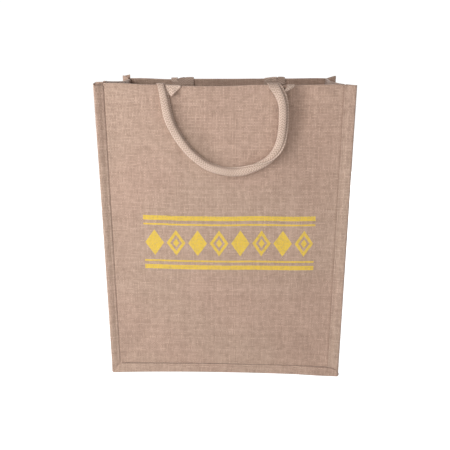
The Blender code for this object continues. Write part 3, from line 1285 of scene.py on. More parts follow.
@dataclass(frozen=True)
class Gusset:
    """One strip down the left side, under the bag and up the right side, hemmed at both ends.

    Attributes:
        cloth: its finish.
        thickness: of the cloth.
        bow: how far its sides bow into the bag.
        bow_start: the bow's phase at the base, in half waves.
        bow_span: how much of a half wave fits up the side.
        bow_rise: share of the height over which the bow sets in.
        bow_power: how sharply the bow is bent at its middle.
        flat_share: share of the base's half width over which it sags to the surface.
        flat_run: the same from its two ends, in metres.
        peaks: how far its rim stands up at the front, on the left and the right.
        dips: how far its rim hangs towards the back, on the left and the right.
        allowance: metres of cloth from a seam to the end of the turn, and to the cut edge.
        runs: metres of cloth down a side, round a corner and along the base.
    """

    cloth: JuteCloth
    thickness: float = 0.0010
    bow: float = 0.0075
    bow_start: float = 0.06
    bow_span: float = 0.72
    bow_rise: float = 0.20
    bow_power: float = 1.2
    flat_share: float = 0.40
    flat_run: float = 0.045
    peaks: tuple[float, float] = (0.0028, 0.0014)
    dips: tuple[float, float] = (0.0017, 0.0)
    allowance: tuple[float, float] = (0.0012, 0.0095)
    runs: tuple[float, float, float] = (0.428, 0.005, 0.3265)

    def rim(self, x: Array, share: Array) -> Array:
        """Height of the fold's upper edge.

        Args:
            x: places across the bag.
            share: from 0 at the front to 1 at the back.

        Returns:
            The heights there.
        """
        front, back = SHAPE.rim_height(FRONT, x), SHAPE.rim_height(BACK, x)
        peak = np.where(x < 0, *self.peaks) * (1 - clamp(share)) ** 4
        dip = np.where(x < 0, *self.dips) * bump(share - 0.70, 0.45)
        return mix(front, back, clamp(share)) + peak - dip - SHAPE.layer / 2

    def grid(self) -> ClothGrid:
        """Bends the strip to its place.

        Its columns run from -1 to 1 between the seams, out to 2 where it has turned into its allowance, and
        to 3 at the cut edge. Its rows are stations, with 0 to -1 and 5 to 6 for the hems' folds and one more
        for the hems.

        Returns:
            The cloth.
        """
        columns = spaced((-3, 0), (-2, 3), (-1, 3), (1, 62), (2, 3), (3, 3))
        left_stops, right_stops = ((-2, 0), (-1, 13), (0, 8), (1, 140)), ((5, 140), (6, 8), (7, 13))
        rows = spaced(*left_stops, (2, 6), (3, 110), (4, 6), *right_stops)
        column, row = np.meshgrid(columns, rows)
        shape = SHAPE
        station, past = np.clip(row, 0, 5), np.maximum(np.maximum(-row, row - 5), 0)
        side = np.where(station < BASE_MIDDLE, -1.0, 1.0)
        share = (column + 1) / 2
        top = self.rim(side * shape.seams[0], share)
        near, far = shape.stations(station, top)
        x, z = near[..., 0], near[..., 1]
        ends = [f.sign * (shape.panel_depth(f, x, z) - shape.layer - shape.turn) for f in (FRONT, BACK)]
        y = mix(ends[0], ends[1], clamp(share))
        from_seam = clamp(1 - abs(column))
        run = np.minimum(x + shape.seams[0], shape.seams[1] - x) - shape.corner
        under = (station > 2) & (station < 3)
        drop = shape.base - self.thickness / 2
        sag = drop * ease(from_seam / self.flat_share) * ease(run / self.flat_run)
        rise = clamp((z - shape.base - shape.corner) / (shape.height - shape.base))
        wave = np.sin(np.pi * (self.bow_start + self.bow_span * rise))
        bow = self.bow * wave * ease(rise / self.bow_rise) * from_seam**self.bow_power
        loose = ease(from_seam / 0.2) * ease(rise / 0.05) * ripples(y, z, 0.0011)
        turn = np.pi * clamp(past)
        fold = shape.layer / 2
        inward = np.where(under, 0, bow + loose) + fold * (1 - np.cos(turn))
        z = z - np.where(under, sag, 0) + fold * np.sin(turn) - shape.hem * np.maximum(past - 1, 0)
        points = np.stack([x - side * inward, y, z], -1)
        turned = np.pi / 2 * clamp(abs(column) - 1)
        reach = np.linalg.norm(far - near, axis=-1)
        out = shape.turn * (1 - np.cos(turned))
        out = mix(out, reach - shape.cut_in, clamp(abs(column) - 2))
        forward = shape.turn * (np.sin(turned) - 1) - shape.layer
        for face in (FRONT, BACK):
            lips = shape.on_lip(face, station, top, out, forward)
            chosen = (abs(column) > 1) & (np.sign(column) == face.sign)
            points = np.where(chosen[..., None], lips, points)
        wide = [0, shape.half_depth, *(shape.half_depth + part for part in self.allowance)]
        cloth_x = np.sign(column) * np.interp(abs(column), [0, 1, 2, 3], wide)
        bent = fold * np.pi
        side_run, corner_run, base_run = self.runs
        down, up = (shape.hem, bent, side_run, corner_run), (corner_run, side_run, bent, shape.hem)
        lengths = np.cumsum([0, *down, base_run, *up])
        cloth_y = np.interp(row, np.arange(-2, 8), lengths)
        # Painted shade down both seams of the strip, fading out towards the rim.
        crease = 0.6 * bump(from_seam * shape.half_depth, 0.0022) * (past < 0.5) * clamp((top - z) / 0.03)
        kept = without((abs(column) > PAST) & (past > PAST - 1))
        return ClothGrid(points, np.stack([cloth_x, cloth_y], -1), crease, kept)

    def build(self) -> Object:
        """Makes and dresses the strip.

        Returns:
            The strip.
        """
        grid = self.grid()
        made = sewn_sheet("gusset_cloth", [grid], self.cloth.build(), self.thickness)
        grid.flat_area()
        return register(made, "jute_cloth", "gusset")


def ripples(u: Array, v: Array, height: float) -> Array:
    """Slow uneven waves over a cloth, never quite the same twice.

    Args:
        u: metres one way.
        v: metres the other way.
        height: of the waves.

    Returns:
        How far the cloth is off its even place.
    """
    first = np.sin(u * 47.0 + 1.3 + 2.0 * np.sin(v * 13.0 + 0.4))
    second = np.sin(v * 31.0 - 0.7 + 1.7 * np.sin(u * 23.0 + 1.9))
    third = np.sin((u + 0.6 * v) * 83.0 + 1.1 * np.sin(v * 41.0))
    return height * (0.45 * first + 0.40 * second + 0.25 * third)


@dataclass(frozen=True)
class Binding:
    """The tape folded round both seams' lips, in one U from rim to rim.

    Attributes:
        face: front or back.
        cloth: its finish.
        cuts: how far the left and the right end's cut edge is from level, across the tape.
        start: from a seam to the tape's edge on the outside.
        back_start: the same on the gusset's side.
        stitch: from a seam to its row of stitches.
        thickness: of the tape.
        width: of the tape before it is folded.
        press: how far its edge is pressed down, and the width of that.
        pull: how far the stitches pull it down, and the width of that.
        puff: how far it swells over the lip's layers, where, and the width of that.
        wave: height and length of its waves between the stitches.
        lap: how far the base's tape stands off where it laps over the sides'.
    """

    face: Face
    cloth: JuteCloth
    cuts: tuple[tuple[float, ...], ...] = ((-0.0012, -0.0006, 0.0033, 0.0036), (0.0008, 0.0, 0.0, 0.0010))
    start: float = -0.0004
    back_start: float = 0.0019
    stitch: float = 0.0034
    thickness: float = 0.0010
    width: float = 0.0285
    press: tuple[float, float] = (0.00030, 0.0012)
    pull: tuple[float, float] = (0.00038, 0.0013)
    puff: tuple[float, float, float] = (0.00030, 0.0072, 0.0024)
    wave: tuple[float, float] = (0.00014, 0.0075)
    lap: float = 0.0007

    def top(self, station: Array) -> Array:
        """Height of the tape's upper end on the side that the station is on."""
        left = np.asarray(station) < BASE_MIDDLE
        sides = np.where(left, -SHAPE.seams[0], SHAPE.seams[0])
        return SHAPE.rim_height(self.face, sides) + np.where(left, *self.face.tops)

    def relief(self, out: Array, run: Array) -> Array:
        """How far the tape stands off its flat place.

        Args:
            out: distance out from the seam.
            run: distance along the seams.

        Returns:
            The distances, below 0 where the tape is pressed down.
        """
        (press, press_width), (pull, pull_width) = self.press, self.pull
        (puff, puff_at, puff_width), (wave, wave_length) = self.puff, self.wave
        edge = -press * clamp(1 - (out - self.start) / press_width)
        pulled = -pull * bump(out - self.stitch, pull_width)
        puffed = puff * bump(out - puff_at, puff_width)
        waves = wave * np.sin(math.tau * run / wave_length + 1.5 * np.sin(run * 71.0))
        return edge + pulled + puffed + waves * bump(out - self.stitch, 0.004)

    def run(self, station: Array, section: Array, length: Array) -> ClothGrid:
        """One stretch of the tape.

        Args:
            station: rows of the stretch.
            section: columns, from 0 to 1 on the outside, to 2 round the lip's edge and to 3 on the gusset's.
            length: distance along the seams at each row.

        Returns:
            The stretch.
        """
        shape = SHAPE
        at, place = np.meshgrid(section, station)
        run = np.broadcast_to(length[:, None], at.shape)
        left = place < BASE_MIDDLE
        cut = [np.interp(at, [0, 1, 2, 3], heights) for heights in self.cuts]
        top = self.top(place) + np.where(left, *cut)
        near, far = shape.stations(place, top)
        reach = np.linalg.norm(far - near, axis=-1)
        radius = 1.5 * shape.layer
        bend = reach - radius - self.thickness / 2
        angle = np.pi * clamp(at - 1)
        front, back = mix(self.start, bend, clamp(at)), mix(bend, self.back_start, clamp(at - 2))
        out = np.where(at <= 1, front, np.where(at <= 2, bend + radius * np.sin(angle), back))
        forward = radius * np.cos(angle) - shape.layer / 2
        forward = forward + self.relief(out, run) * np.where(at <= 1, 1, np.where(at < 2, 0, -1))
        of_base = 1.4 < station[0] < 3
        over = self.lap * clamp(1 - abs(place - 2) / 0.6) * (place >= 1.5) * of_base
        forward = forward + np.where(at < 1.5, over, -over)
        points = shape.on_lip(self.face, place, top, out, forward)
        middle = (station[0] + station[-1]) / 2
        sideways = middle < 1.5 or middle > 3.5
        from_edge = shape.outer(points[..., 2]) - abs(points[..., 0]) if sideways else points[..., 2]
        flat = np.maximum(from_edge - (radius + self.thickness / 2), 0) + radius * np.pi / 2
        cloth_x = np.where(at <= 1, -flat, np.where(at >= 2, flat, radius * (angle - np.pi / 2)))
        cloth_y = points[..., 2] if sideways else points[..., 0] + 0.7
        # Painted shade: a dark line at the tape's edge and a fainter one along the stitches, full down the
        # left side, faint along the base and none up the right side.
        strength = np.where(place < 1.6, 1.0, mix(0.3, 0.0, clamp((place - 2.6) / 0.4)))
        crease = (0.35 * bump(out - self.start, 0.0005) + 0.15 * bump(out - self.stitch, 0.0007)) * strength
        return ClothGrid(points, np.stack([cloth_x, cloth_y], -1), crease)

    def tongue(self) -> ClothGrid:
        """The end of the base's tape, which laps over the right side's and rounds off at the corner.

        Returns:
            The stretch, from where it comes out of the tape below it to its rounded end.
        """
        start, bend, end = 0.118, 0.176, 0.1806
        low, end_top = 0.0032, 0.0048
        x, share = np.meshgrid(spaced((start, 0), (bend, 34), (end, 8)), spaced((0, 0), (1, 12), (2, 8)))
        rounded = np.sqrt(1 - clamp((x - 0.1650) / 0.0142) ** 2)
        upper = mix(end_top, SHAPE.base - 0.0001, rounded)
        z = mix(upper, low, clamp(share))
        turn = np.pi * 0.6 * clamp(share - 1)
        z = z - (low - SHAPE.lip_lift) * np.sin(np.minimum(turn, np.pi / 2))
        emerge = ease((x - start) / 0.030)
        round_right = np.maximum(x - 0.1768, 0) / 0.0038
        lift = mix(0.0, 0.00105, emerge) + self.lap * bump(x - 0.168, 0.008) * clamp(1 - share)
        back = 0.0030 * (1 - np.cos(turn)) + 0.0034 * round_right**2
        flat_x, flat_z = np.minimum(x, 0.1785), np.maximum(z, 0.0005)
        depth = SHAPE.panel_depth(self.face, flat_x, flat_z) + SHAPE.layer + lift - back
        # Painted shade: a dark line along the tongue's upper edge and a darkening over its rounded end.
        crease = 0.4 * bump(z - upper, 0.0005) * emerge + 0.8 * clamp(round_right) ** 2
        sign = self.face.sign
        points = np.stack([-sign * x, sign * depth, z], -1)
        return ClothGrid(points, np.stack([z + 0.3, x + 0.7], -1), crease)

    def build(self) -> Object:
        """Makes and dresses the tape.

        Returns:
            The tape.
        """
        section = spaced((0, 0), (0.25, 5), (1, 9), (2, 12), (2.75, 7), (3, 4))
        stations = (
            spaced((0, 0), (1, 144), (1.5, 14)),
            spaced((1.5, 0), (2, 14), (3, 110), (3.5, 14)),
            spaced((3.5, 0), (4, 14), (5, 144)),
        )
        seam_lengths = (0, 0.43, 0.44, 0.767, 0.777, 1.207)
        lengths = [np.interp(station, np.arange(6), seam_lengths) for station in stations]
        grids = [self.run(station, section, length) for station, length in zip(stations, lengths)]
        name, material = self.face.name, self.cloth.build()
        flipped = self.face.side is Side.FRONT
        parts = [
            sewn_sheet(f"{name}_binding_{number}", [grid], material, self.thickness, flipped)
            for number, grid in enumerate([*grids, self.tongue()])
        ]
        made = join(parts)
        made.name = made.data.name = f"{name}_binding_tape"
        area = sum(grid.flat_area() for grid in grids)
        return register(made, "jute_tape", f"{name}_binding")


# ---- handles


@dataclass(frozen=True)
class RouteRow:
    """A handle's section at one place on its route.

    Attributes:
        x: its stuffed part's middle.
        out: the same, out from the panel's middle surface.
        up: the same, above the rim.
        half_width: of the stuffed part.
        half_thick: of the stuffed part.
        flange: how far the tape's two edges, sewn together, stand out beside it.
        slant: where they stand, in degrees from the loop's inside towards the front.
        turn: the way its face looks, in degrees: 180 into the bag, 90 up and 0 away from the bag.
    """

    x: float
    out: float
    up: float
    half_width: float
    half_thick: float
    flange: float
    slant: float
    turn: float


ROPE = (0.0056, 0.0049)  # half width and half thickness where it is stuffed
FLAT = (0.0072, 0.0006, 0.0216)  # half width, half thickness and flange where it is sewn down
ROUTE_TABLE = (
    (-0.0890, -0.0036, -0.0360, *FLAT, 0, 180),
    (-0.0890, -0.0036, -0.0180, *FLAT, 0, 180),
    (-0.0890, -0.0034, -0.0040, *FLAT, 0, 180),
    (-0.0888, -0.0026, 0.0002, 0.0066, 0.0006, 0.0140, 0, 140),
    (-0.0884, -0.0004, 0.0023, 0.0056, 0.0009, 0.0050, -4, 90),
    (-0.0880, 0.0020, 0.0010, 0.0049, 0.0020, 0.0036, -10, 45),
    (-0.0871, 0.0036, -0.0034, 0.0048, 0.0032, 0.0036, -14, 12),
    (-0.0856, 0.0048, -0.0090, 0.0051, 0.0037, 0.0026, -20, 0),
    (-0.0837, 0.0056, -0.0187, 0.0055, 0.0041, 0.0020, -26, 0),
    (-0.0815, 0.0058, -0.0305, 0.0058, 0.0044, 0.0018, -30, 0),
    (-0.0780, 0.0059, -0.0450, 0.0060, 0.0046, 0.0017, -32, 0),
    (-0.0703, 0.0060, -0.0615, 0.0058, 0.0047, 0.0016, -34, 0),
    (-0.0594, 0.0061, -0.0782, 0.0057, 0.0048, 0.0016, -36, 0),
    (-0.0434, 0.0062, -0.0960, *ROPE, 0.0015, -38, 0),
    (-0.0220, 0.0062, -0.1110, *ROPE, 0.0014, -38, 0),
    (0.0030, 0.0062, -0.1182, *ROPE, 0.0012, -36, 0),
    (0.0270, 0.0063, -0.1187, *ROPE, 0.0012, -4, 0),
    (0.0487, 0.0064, -0.1108, *ROPE, 0.0014, 60, 0),
    (0.0661, 0.0068, -0.0985, *ROPE, 0.0018, 112, 0),
    (0.0765, 0.0074, -0.0800, *ROPE, 0.0020, 158, 0),
    (0.0803, 0.0084, -0.0570, *ROPE, 0.0022, 184, 0),
    (0.0806, 0.0092, -0.0370, *ROPE, 0.0024, 194, 0),
    (0.0797, 0.0094, -0.0255, *ROPE, 0.0026, 196, 0),
    (0.0769, 0.0086, -0.0160, 0.0060, 0.0050, 0.0028, 194, 0),
    (0.0728, 0.0062, -0.0080, 0.0062, 0.0038, 0.0030, 188, 4),
    (0.0688, 0.0038, -0.0024, 0.0066, 0.0026, 0.0034, 186, 25),
    (0.0664, 0.0016, 0.0015, 0.0070, 0.0014, 0.0044, 182, 65),
    (0.0660, -0.0006, 0.0024, 0.0072, 0.0009, 0.0090, 180, 95),
    (0.0657, -0.0028, 0.0000, 0.0072, 0.0006, 0.0180, 180, 140),
    (0.0657, -0.0035, -0.0040, *FLAT, 180, 180),
    (0.0657, -0.0036, -0.0180, *FLAT, 180, 180),
    (0.0657, -0.0036, -0.0360, *FLAT, 180, 180),
)
HANDLE_ROUTE = tuple(RouteRow(*row) for row in ROUTE_TABLE)


@dataclass(frozen=True)
class Flap:
    """A corner of the tape's flat end that hangs over the rim beside the stuffed part.

    Attributes:
        outline: pairs of x and how far down the front it reaches there.
        lift: how far its tip stands off the panel.
        swing: how far it hangs aside for each step down.
    """

    outline: tuple[tuple[float, float], ...]
    lift: float
    swing: float = 0.0


FLAP_THICKNESS = 0.0010
LEFT_FLAP = Flap(((-0.0812, 0.0020), (-0.0798, 0.0050), (-0.0738, 0.0140), (-0.0606, 0.0008)), 0.0042)
RIGHT_FLAP = Flap(((0.0862, 0.0060), (0.0880, 0.0084), (0.0915, 0.0066), (0.0968, 0.0012)), 0.0072, 0.75)


@dataclass(frozen=True)
class Handle:
    """A stuffed handle of herringbone tape, whose flat ends are sewn inside the rim.

    Attributes:
        face: front or back.
        finish: its tape.
        steps: rings in each stretch of the route.
        sides: points round the stuffed part.
        half_tape: half the thickness of the sewn edges.
        spine: distance round the tape from its seam to the middle rib.
        thin: half thickness up to which the tape counts as flat.
        stuffing: how much thicker it is where it counts as full.
        flap_fold: radius of the flaps' fold over the rim.
        flap_rise: how far that fold stands above the rim at the front.
    """

    face: Face
    finish: CottonTape
    steps: int = 12
    sides: int = 30
    half_tape: float = 0.00062
    spine: float = 0.0266
    thin: float = 0.0015
    stuffing: float = 0.0033
    flap_fold: float = 0.0027
    flap_rise: float = 0.0013

    def outline(self, row: RouteRow) -> tuple[Array, Array]:
        """The section at one place on the route.

        Args:
            row: the section's sizes.

        Returns:
            Its points, across and out, and the distance along the tape at each.
        """
        thick, slant = row.half_thick, math.radians(row.slant)
        half = min(self.half_tape, thick)
        round_share = clamp((thick - 0.0008) / 0.004)
        flat_power, round_power, flat_gap = 0.55, 0.74, 0.10
        power = mix(flat_power, round_power, ease(round_share * 2))
        gap = math.asin(min(half * mix(1.0, 0.55, round_share) / thick, 0.95))
        gap = mix(flat_gap, gap, ease(round_share * 2))
        angles = np.linspace(gap, math.tau - gap, self.sides)
        turned = angles + slant
        cos, sin = np.cos(turned), np.sin(turned)
        across = np.sign(cos) * abs(cos) ** power * row.half_width
        outer = np.sign(sin) * abs(sin) ** power * thick
        rope = np.stack([across, outer], -1)
        along = np.array([math.cos(slant), math.sin(slant)])
        beside = np.array([-along[1], along[0]])
        root = float(rope[0] @ along)
        far = root + row.flange + round_share * 0.0004
        share = np.array([0.0, 0.12, 0.3, 0.55, 0.8, 0.94])[:, None]
        tall = np.interp(share, [0, 0.15, 0.5, 0.9, 1], np.array([0.80, 0.70, 1.0, 1.0, 0.8]) * half)
        first = float(rope[0] @ beside)
        reach, rise = along * mix(root, far, share), beside * mix(first, tall, clamp(share * 9))
        up, down = reach + rise, reach - rise
        tip = [
            along * (far + half * 0.35 * math.cos(angle)) + beside * half * 0.8 * math.sin(angle)
            for angle in (-0.7, 0, 0.7)
        ]
        points = np.vstack([rope, down[1:], tip, up[:0:-1]])
        return points, distances(points)

    def frames(self) -> tuple[list[RouteRow], Array, Array, Array]:
        """Places along the route.

        Returns:
            The route's rows, their middles, and the across and out directions there.
        """
        table = catmull(np.array([astuple(row) for row in HANDLE_ROUTE]), self.steps)
        rows = [RouteRow(*numbers) for numbers in table]
        middle_x, out, up = np.array([(row.x, row.out, row.up) for row in rows]).T
        x = -self.face.sign * middle_x
        z = SHAPE.rim_height(self.face, x) + up
        depth = SHAPE.panel_depth(self.face, x, np.minimum(z, SHAPE.height))
        middles = np.stack([middle_x, -(depth + out), z], -1)
        along = unit(np.gradient(middles, axis=0))
        turn = np.radians([row.turn for row in rows])
        outer = np.stack([np.zeros_like(turn), -np.cos(turn), np.sin(turn)], -1)
        across = unit(np.cross(outer, along))
        return rows, middles, across, unit(np.cross(along, across))

    def follow(self, ring: Array, middle: Array, share: float) -> Array:
        """Bends flat tape to the panel that it is sewn to, so that the two stay clear of each other.

        Args:
            ring: one section's points.
            middle: the section's middle.
            share: 1 where the tape is flat and 0 where it is stuffed.

        Returns:
            The section's points, moved.
        """
        level = min(middle[2], SHAPE.height)
        places = -self.face.sign * ring[:, 0], -self.face.sign * middle[:1]
        depth, middle_depth = (SHAPE.panel_depth(self.face, x, level) for x in places)
        rim, middle_rim = (SHAPE.rim_height(self.face, x) for x in places)
        ring[:, 1] -= share * (depth - middle_depth)
        ring[:, 2] += share * (rim - middle_rim)
        return ring

    def tube(self) -> tuple[Array, Array, Array]:
        """The route's sections, one after another.

        Returns:
            Their points, cloth map and crease of painted shade, each as rings by sides.
        """
        rows, middles, across, outer = self.frames()
        points, cloth, crease = [], [], []
        for row, middle, wide, out, run in zip(rows, middles, across, outer, distances(middles)):
            outline, arc = self.outline(row)
            stuffed = clamp((row.half_thick - self.thin) / self.stuffing)
            ring = middle + outline[:, :1] * wide + outline[:, 1:] * out
            points.append(self.follow(ring, middle, 1 - stuffed))
            cloth.append(np.stack([arc - self.spine, np.full_like(arc, run)], -1))
            # Painted shade: dark along the root of the sewn edges where the tape is stuffed, fainter on the
            # loop's right part, and an even 0.40 over the flat ends.
            from_root = np.minimum(abs(arc - arc[0]), abs(arc - arc[self.sides - 1]))
            seam = bump(from_root, 0.0011) * mix(1.0, 0.4, clamp(row.x / 0.04))
            crease.append(seam * stuffed + 0.40 * (1 - stuffed))
        return np.array(points), np.array(cloth), np.array(crease)

    def flap(self, flap: Flap) -> ClothGrid:
        """One of the tape's corners that hang over the rim.

        Args:
            flap: which one.

        Returns:
            The stretch, from inside the rim, over it and down the front.
        """
        places, depths = zip(*flap.outline)
        columns = spaced((places[0], 0), (places[-1], 24))
        x, run = np.meshgrid(columns, spaced((0, 0), (1, 6), (2, 10), (3, 12)))
        rim = SHAPE.rim_height(self.face, -self.face.sign * x)
        deep = np.interp(x, places, depths)
        rise = self.flap_rise
        if self.face.side is Side.BACK:
            rise = 0.0030 - 0.0016 * clamp(0.5 - (abs(x) - 0.068) / 0.014)
        turn = np.pi * clamp(run - 1)
        down = deep * clamp(run - 2)
        x = x - flap.swing * down
        inside = 0.004 * (1 - clamp(run))
        z = rim - 0.0003 + rise * np.sin(turn) ** 0.7 - down - inside
        depth = SHAPE.panel_depth(self.face, -self.face.sign * x, np.minimum(z, SHAPE.height))
        curled = flap.lift * np.sin(np.pi / 2 * clamp(down / 0.013))
        waved = 0.0007 * np.sin(x * 420.0) * clamp(down / 0.004)
        out = -0.0009 - self.flap_fold * np.cos(turn) + (curled + waved)
        points = np.stack([x, -(depth + out), z], -1)
        return ClothGrid(points, np.stack([x, self.flap_fold * turn + down - inside], -1))

    def build(self) -> Object:
        """Makes and dresses the handle.

        Returns:
            The handle.
        """
        name = f"{self.face.name}_handle_tape"
        material = self.finish.build()
        made = put_mesh(name, self.tube_mesh(name), material)
        flaps = [
            sewn_sheet(f"flap_{number}", [self.flap(flap)], material, FLAP_THICKNESS)
            for number, flap in enumerate((LEFT_FLAP, RIGHT_FLAP))
        ]
        made = join([made, *flaps])
        if self.face.side is Side.BACK:
            made.data.transform(Matrix.Rotation(math.pi, 4, "Z"))
        return register(made, "cotton_rope", f"{self.face.name}_handle")

    def tube_mesh(self, name: str) -> Mesh:
        """The stuffed part as a closed mesh.

        Args:
            name: the mesh's name.

        Returns:
            The mesh.
        """
        points, cloth, crease = self.tube()
        rings, sides = points.shape[:2]
        number = np.arange(rings * sides).reshape(rings, sides)
        following = np.roll(number, -1, axis=1)
        faces = np.stack([number[:-1], number[1:], following[1:], following[:-1]], -1).reshape(-1, 4)
        ends = [number[0].tolist(), number[-1][::-1].tolist()]
        mesh = bpy.data.meshes.new(name)
        mesh.from_pydata(points.reshape(-1, 3), [], faces.tolist() + ends)
        wrapped = cloth.copy()
        wrapped[:, 0, 0] = 2 * cloth[:, -1, 0] - cloth[:, -2, 0]
        beside = np.roll(cloth, -1, 1)
        corner_cloth = np.stack([cloth[:-1], cloth[1:], beside[1:], beside[:-1]], 2)
        corner_cloth[:, -1, 2] = wrapped[1:, 0]
        corner_cloth[:, -1, 3] = wrapped[:-1, 0]
        mark_cloth(mesh, np.vstack([corner_cloth.reshape(-1, 2), cloth[0], cloth[-1][::-1]]), crease)
        return mesh


# ---- sewing and loose fibres


PROUD = 0.0005  # from a cloth's middle surface to the middle of the thread on it
FULL_THICK = 0.0045  # half thickness above which a handle's edges are sewn together


def geometry_tree(name: str, inputs: dict[str, str]) -> tuple[Nodes, Node]:
    """Starts a Geometry Nodes tree that takes a Geometry and a Material, and gives a Geometry.

    Args:
        name: the tree's name.
        inputs: socket types of its other inputs, by name.

    Returns:
        The tree's Nodes and its group input node.
    """
    tree = bpy.data.node_groups.new(name, "GeometryNodeTree")
    tree.interface.new_socket("Geometry", in_out="INPUT", socket_type="NodeSocketGeometry")
    for label, kind in {**inputs, "Material": "NodeSocketMaterial"}.items():
        tree.interface.new_socket(label, in_out="INPUT", socket_type=kind)
    tree.interface.new_socket("Geometry", in_out="OUTPUT", socket_type="NodeSocketGeometry")
    nodes = Nodes(tree)
    return nodes, nodes.add("NodeGroupInput")


def strand(
    nodes: Nodes, bend: dict[str, object], radius: Socket | Value, fineness: tuple[int, int]
) -> Socket:
    """Adds the nodes of one round strand.

    Args:
        nodes: the tree's Nodes.
        bend: Start, Middle and End of its curve.
        radius: of the strand.
        fineness: how many stretches it has along itself, and how many sides.

    Returns:
        The strand's socket.
    """
    along, sides = fineness
    arc = nodes.add("GeometryNodeCurveQuadraticBezier", values={"Resolution": along, **bend})
    ring = nodes.add("GeometryNodeCurvePrimitiveCircle", values={"Resolution": sides, "Radius": radius})
    sweep = {"Curve": arc.outputs[0], "Profile Curve": ring.outputs[0], "Fill Caps": True}
    return nodes.add("GeometryNodeCurveToMesh", values=sweep).outputs[0]


def end_tree(nodes: Nodes, instances: dict[str, object], material: Socket) -> Tree:
    """Ends a tree by laying a strand at each point and dressing them all.

    Args:
        nodes: the tree's Nodes.
        instances: Points, Instance, Rotation and Scale of the strands.
        material: the socket of their material.

    Returns:
        The tree.
    """
    laid = nodes.add("GeometryNodeInstanceOnPoints", values=instances)
    real = nodes.add("GeometryNodeRealizeInstances", values={"Geometry": laid.outputs[0]})
    dressed = nodes.add("GeometryNodeSetMaterial", values={"Geometry": real.outputs[0], "Material": material})
    nodes.add("NodeGroupOutput", values={0: dressed.outputs[0]})
    return nodes.tree


def grow(made: Object, tree: Tree, inputs: dict[str, object]) -> Object:
    """Runs a tree on an object and leaves a plain mesh.

    Args:
        made: the object.
        tree: the tree.
        inputs: its values, by input name.

    Returns:
        The object.
    """
    modifier = made.modifiers.new(tree.name, "NODES")
    modifier.node_group = tree
    for item in tree.interface.items_tree:
        if item.in_out == "INPUT" and item.name in inputs:
            modifier[item.identifier] = inputs[item.name]
    return settle(made)


@dataclass
class StitchRow:
    """A row of stitches.

    Attributes:
        places: their middles.
        along: the way that the row runs at each.
        outward: the way that the cloth faces at each.
    """

    places: Array
    along: Array
    outward: Array

    @classmethod
    def on_path(cls, path: Array, outward: Array, pitch: float) -> "StitchRow":
        """Evenly spaced stitches along a path.

        Args:
            path: points of the path.
            outward: the way that the cloth faces at each.
            pitch: from one stitch to the next.

        Returns:
            The row.
        """
        length = distances(path)
        at = np.arange(pitch / 2, length[-1], pitch)

        def sample(values: Array, where: Array) -> Array:
            """The path's values at distances along it."""
            return np.stack([np.interp(where, length, values[:, axis]) for axis in range(3)], -1)

        along = unit(sample(path, at + pitch / 4) - sample(path, at - pitch / 4))
        return cls(sample(path, at), along, unit(sample(np.broadcast_to(outward, path.shape), at)))


@dataclass(frozen=True)
class Sewing:
    """Stitches of one thread.

    Attributes:
        thread: its material.
        length: of a stitch that shows.
        radius: of the thread.
        arch: how far a stitch's middle stands off the cloth.
    """

    thread: Thread
    length: float = 0.0031
    radius: float = 0.00030
    arch: float = 0.00035

    def tree(self) -> Tree:
        """The tree that lays one arched thread at each point.

        Returns:
            The tree.
        """
        sockets = dict.fromkeys(("Length", "Radius", "Arch"), "NodeSocketFloat")
        nodes, given = geometry_tree("stitches", sockets)
        half, radius, arch = (nodes.value(given, name) for name in sockets)
        half = half / 2
        start, end = (nodes.point(X=x, Z=-radius) for x in (-half, half))
        bend = {"Start": start, "Middle": nodes.point(Z=arch * 2), "End": end}
        thread = strand(nodes, bend, radius, (6, 6))
        turned = None
        for name, axis, pivot in (("along", "X", "AUTO"), ("outward", "Z", "X")):
            settings = {"data_type": "FLOAT_VECTOR"}
            vector = nodes.add("GeometryNodeInputNamedAttribute", settings, {"Name": name})
            values = {"Vector": vector.outputs["Attribute"]}
            if turned:
                values["Rotation"] = turned
            settings = {"axis": axis, "pivot_axis": pivot}
            turned = nodes.add("FunctionNodeAlignRotationToVector", settings, values).outputs[0]
        uneven = nodes.add("FunctionNodeRandomValue", {"data_type": "FLOAT"}, {2: 0.88, 3: 1.1, "Seed": 7})
        points = given.outputs["Geometry"]
        laid = {"Points": points, "Instance": thread, "Rotation": turned, "Scale": uneven.outputs[1]}
        return end_tree(nodes, laid, given.outputs["Material"])

    def build(self, name: str, slot: str, rows: list[StitchRow]) -> Object:
        """Makes and dresses the stitches.

        Args:
            name: the piece's name.
            slot: the name of a material slot, passed on to register, which does not use it.
            rows: where they go.

        Returns:
            The piece.
        """
        mesh = bpy.data.meshes.new(name)
        places = np.concatenate([row.places for row in rows])
        mesh.from_pydata(places, [], [])
        for label in ("along", "outward"):
            values = np.concatenate([getattr(row, label) for row in rows]).astype(np.float32)
            mesh.attributes.new(label, "FLOAT_VECTOR", "POINT").data.foreach_set("vector", values.ravel())
        sizes = {"Length": self.length, "Radius": self.radius, "Arch": self.arch}
        values = {**sizes, "Material": self.thread.build()}
        return register(grow(put(name, mesh), self.tree(), values), slot)


def binding_rows(binding: Binding) -> list[StitchRow]:
    """The row that closes a binding.

    Args:
        binding: the binding.

    Returns:
        The row on the outside and the one on the gusset's side.
    """
    stations = spaced((0.004, 0), (1, 200), (1.5, 8), (2, 8), (3, 160), (3.5, 8), (4, 8), (4.996, 200))
    sign = binding.face.sign
    found = []
    for forward, way in ((SHAPE.layer + PROUD, 1), (-2 * SHAPE.layer - PROUD, -1)):
        lift = forward + way * float(binding.relief(np.array(binding.stitch), np.array(0.0)))
        out = np.full_like(stations, binding.stitch)
        path = SHAPE.on_lip(binding.face, stations, binding.top(stations), out, np.full_like(stations, lift))
        found.append(StitchRow.on_path(path, np.array([0.0, sign * way, 0.0]), 0.0043))
    return found


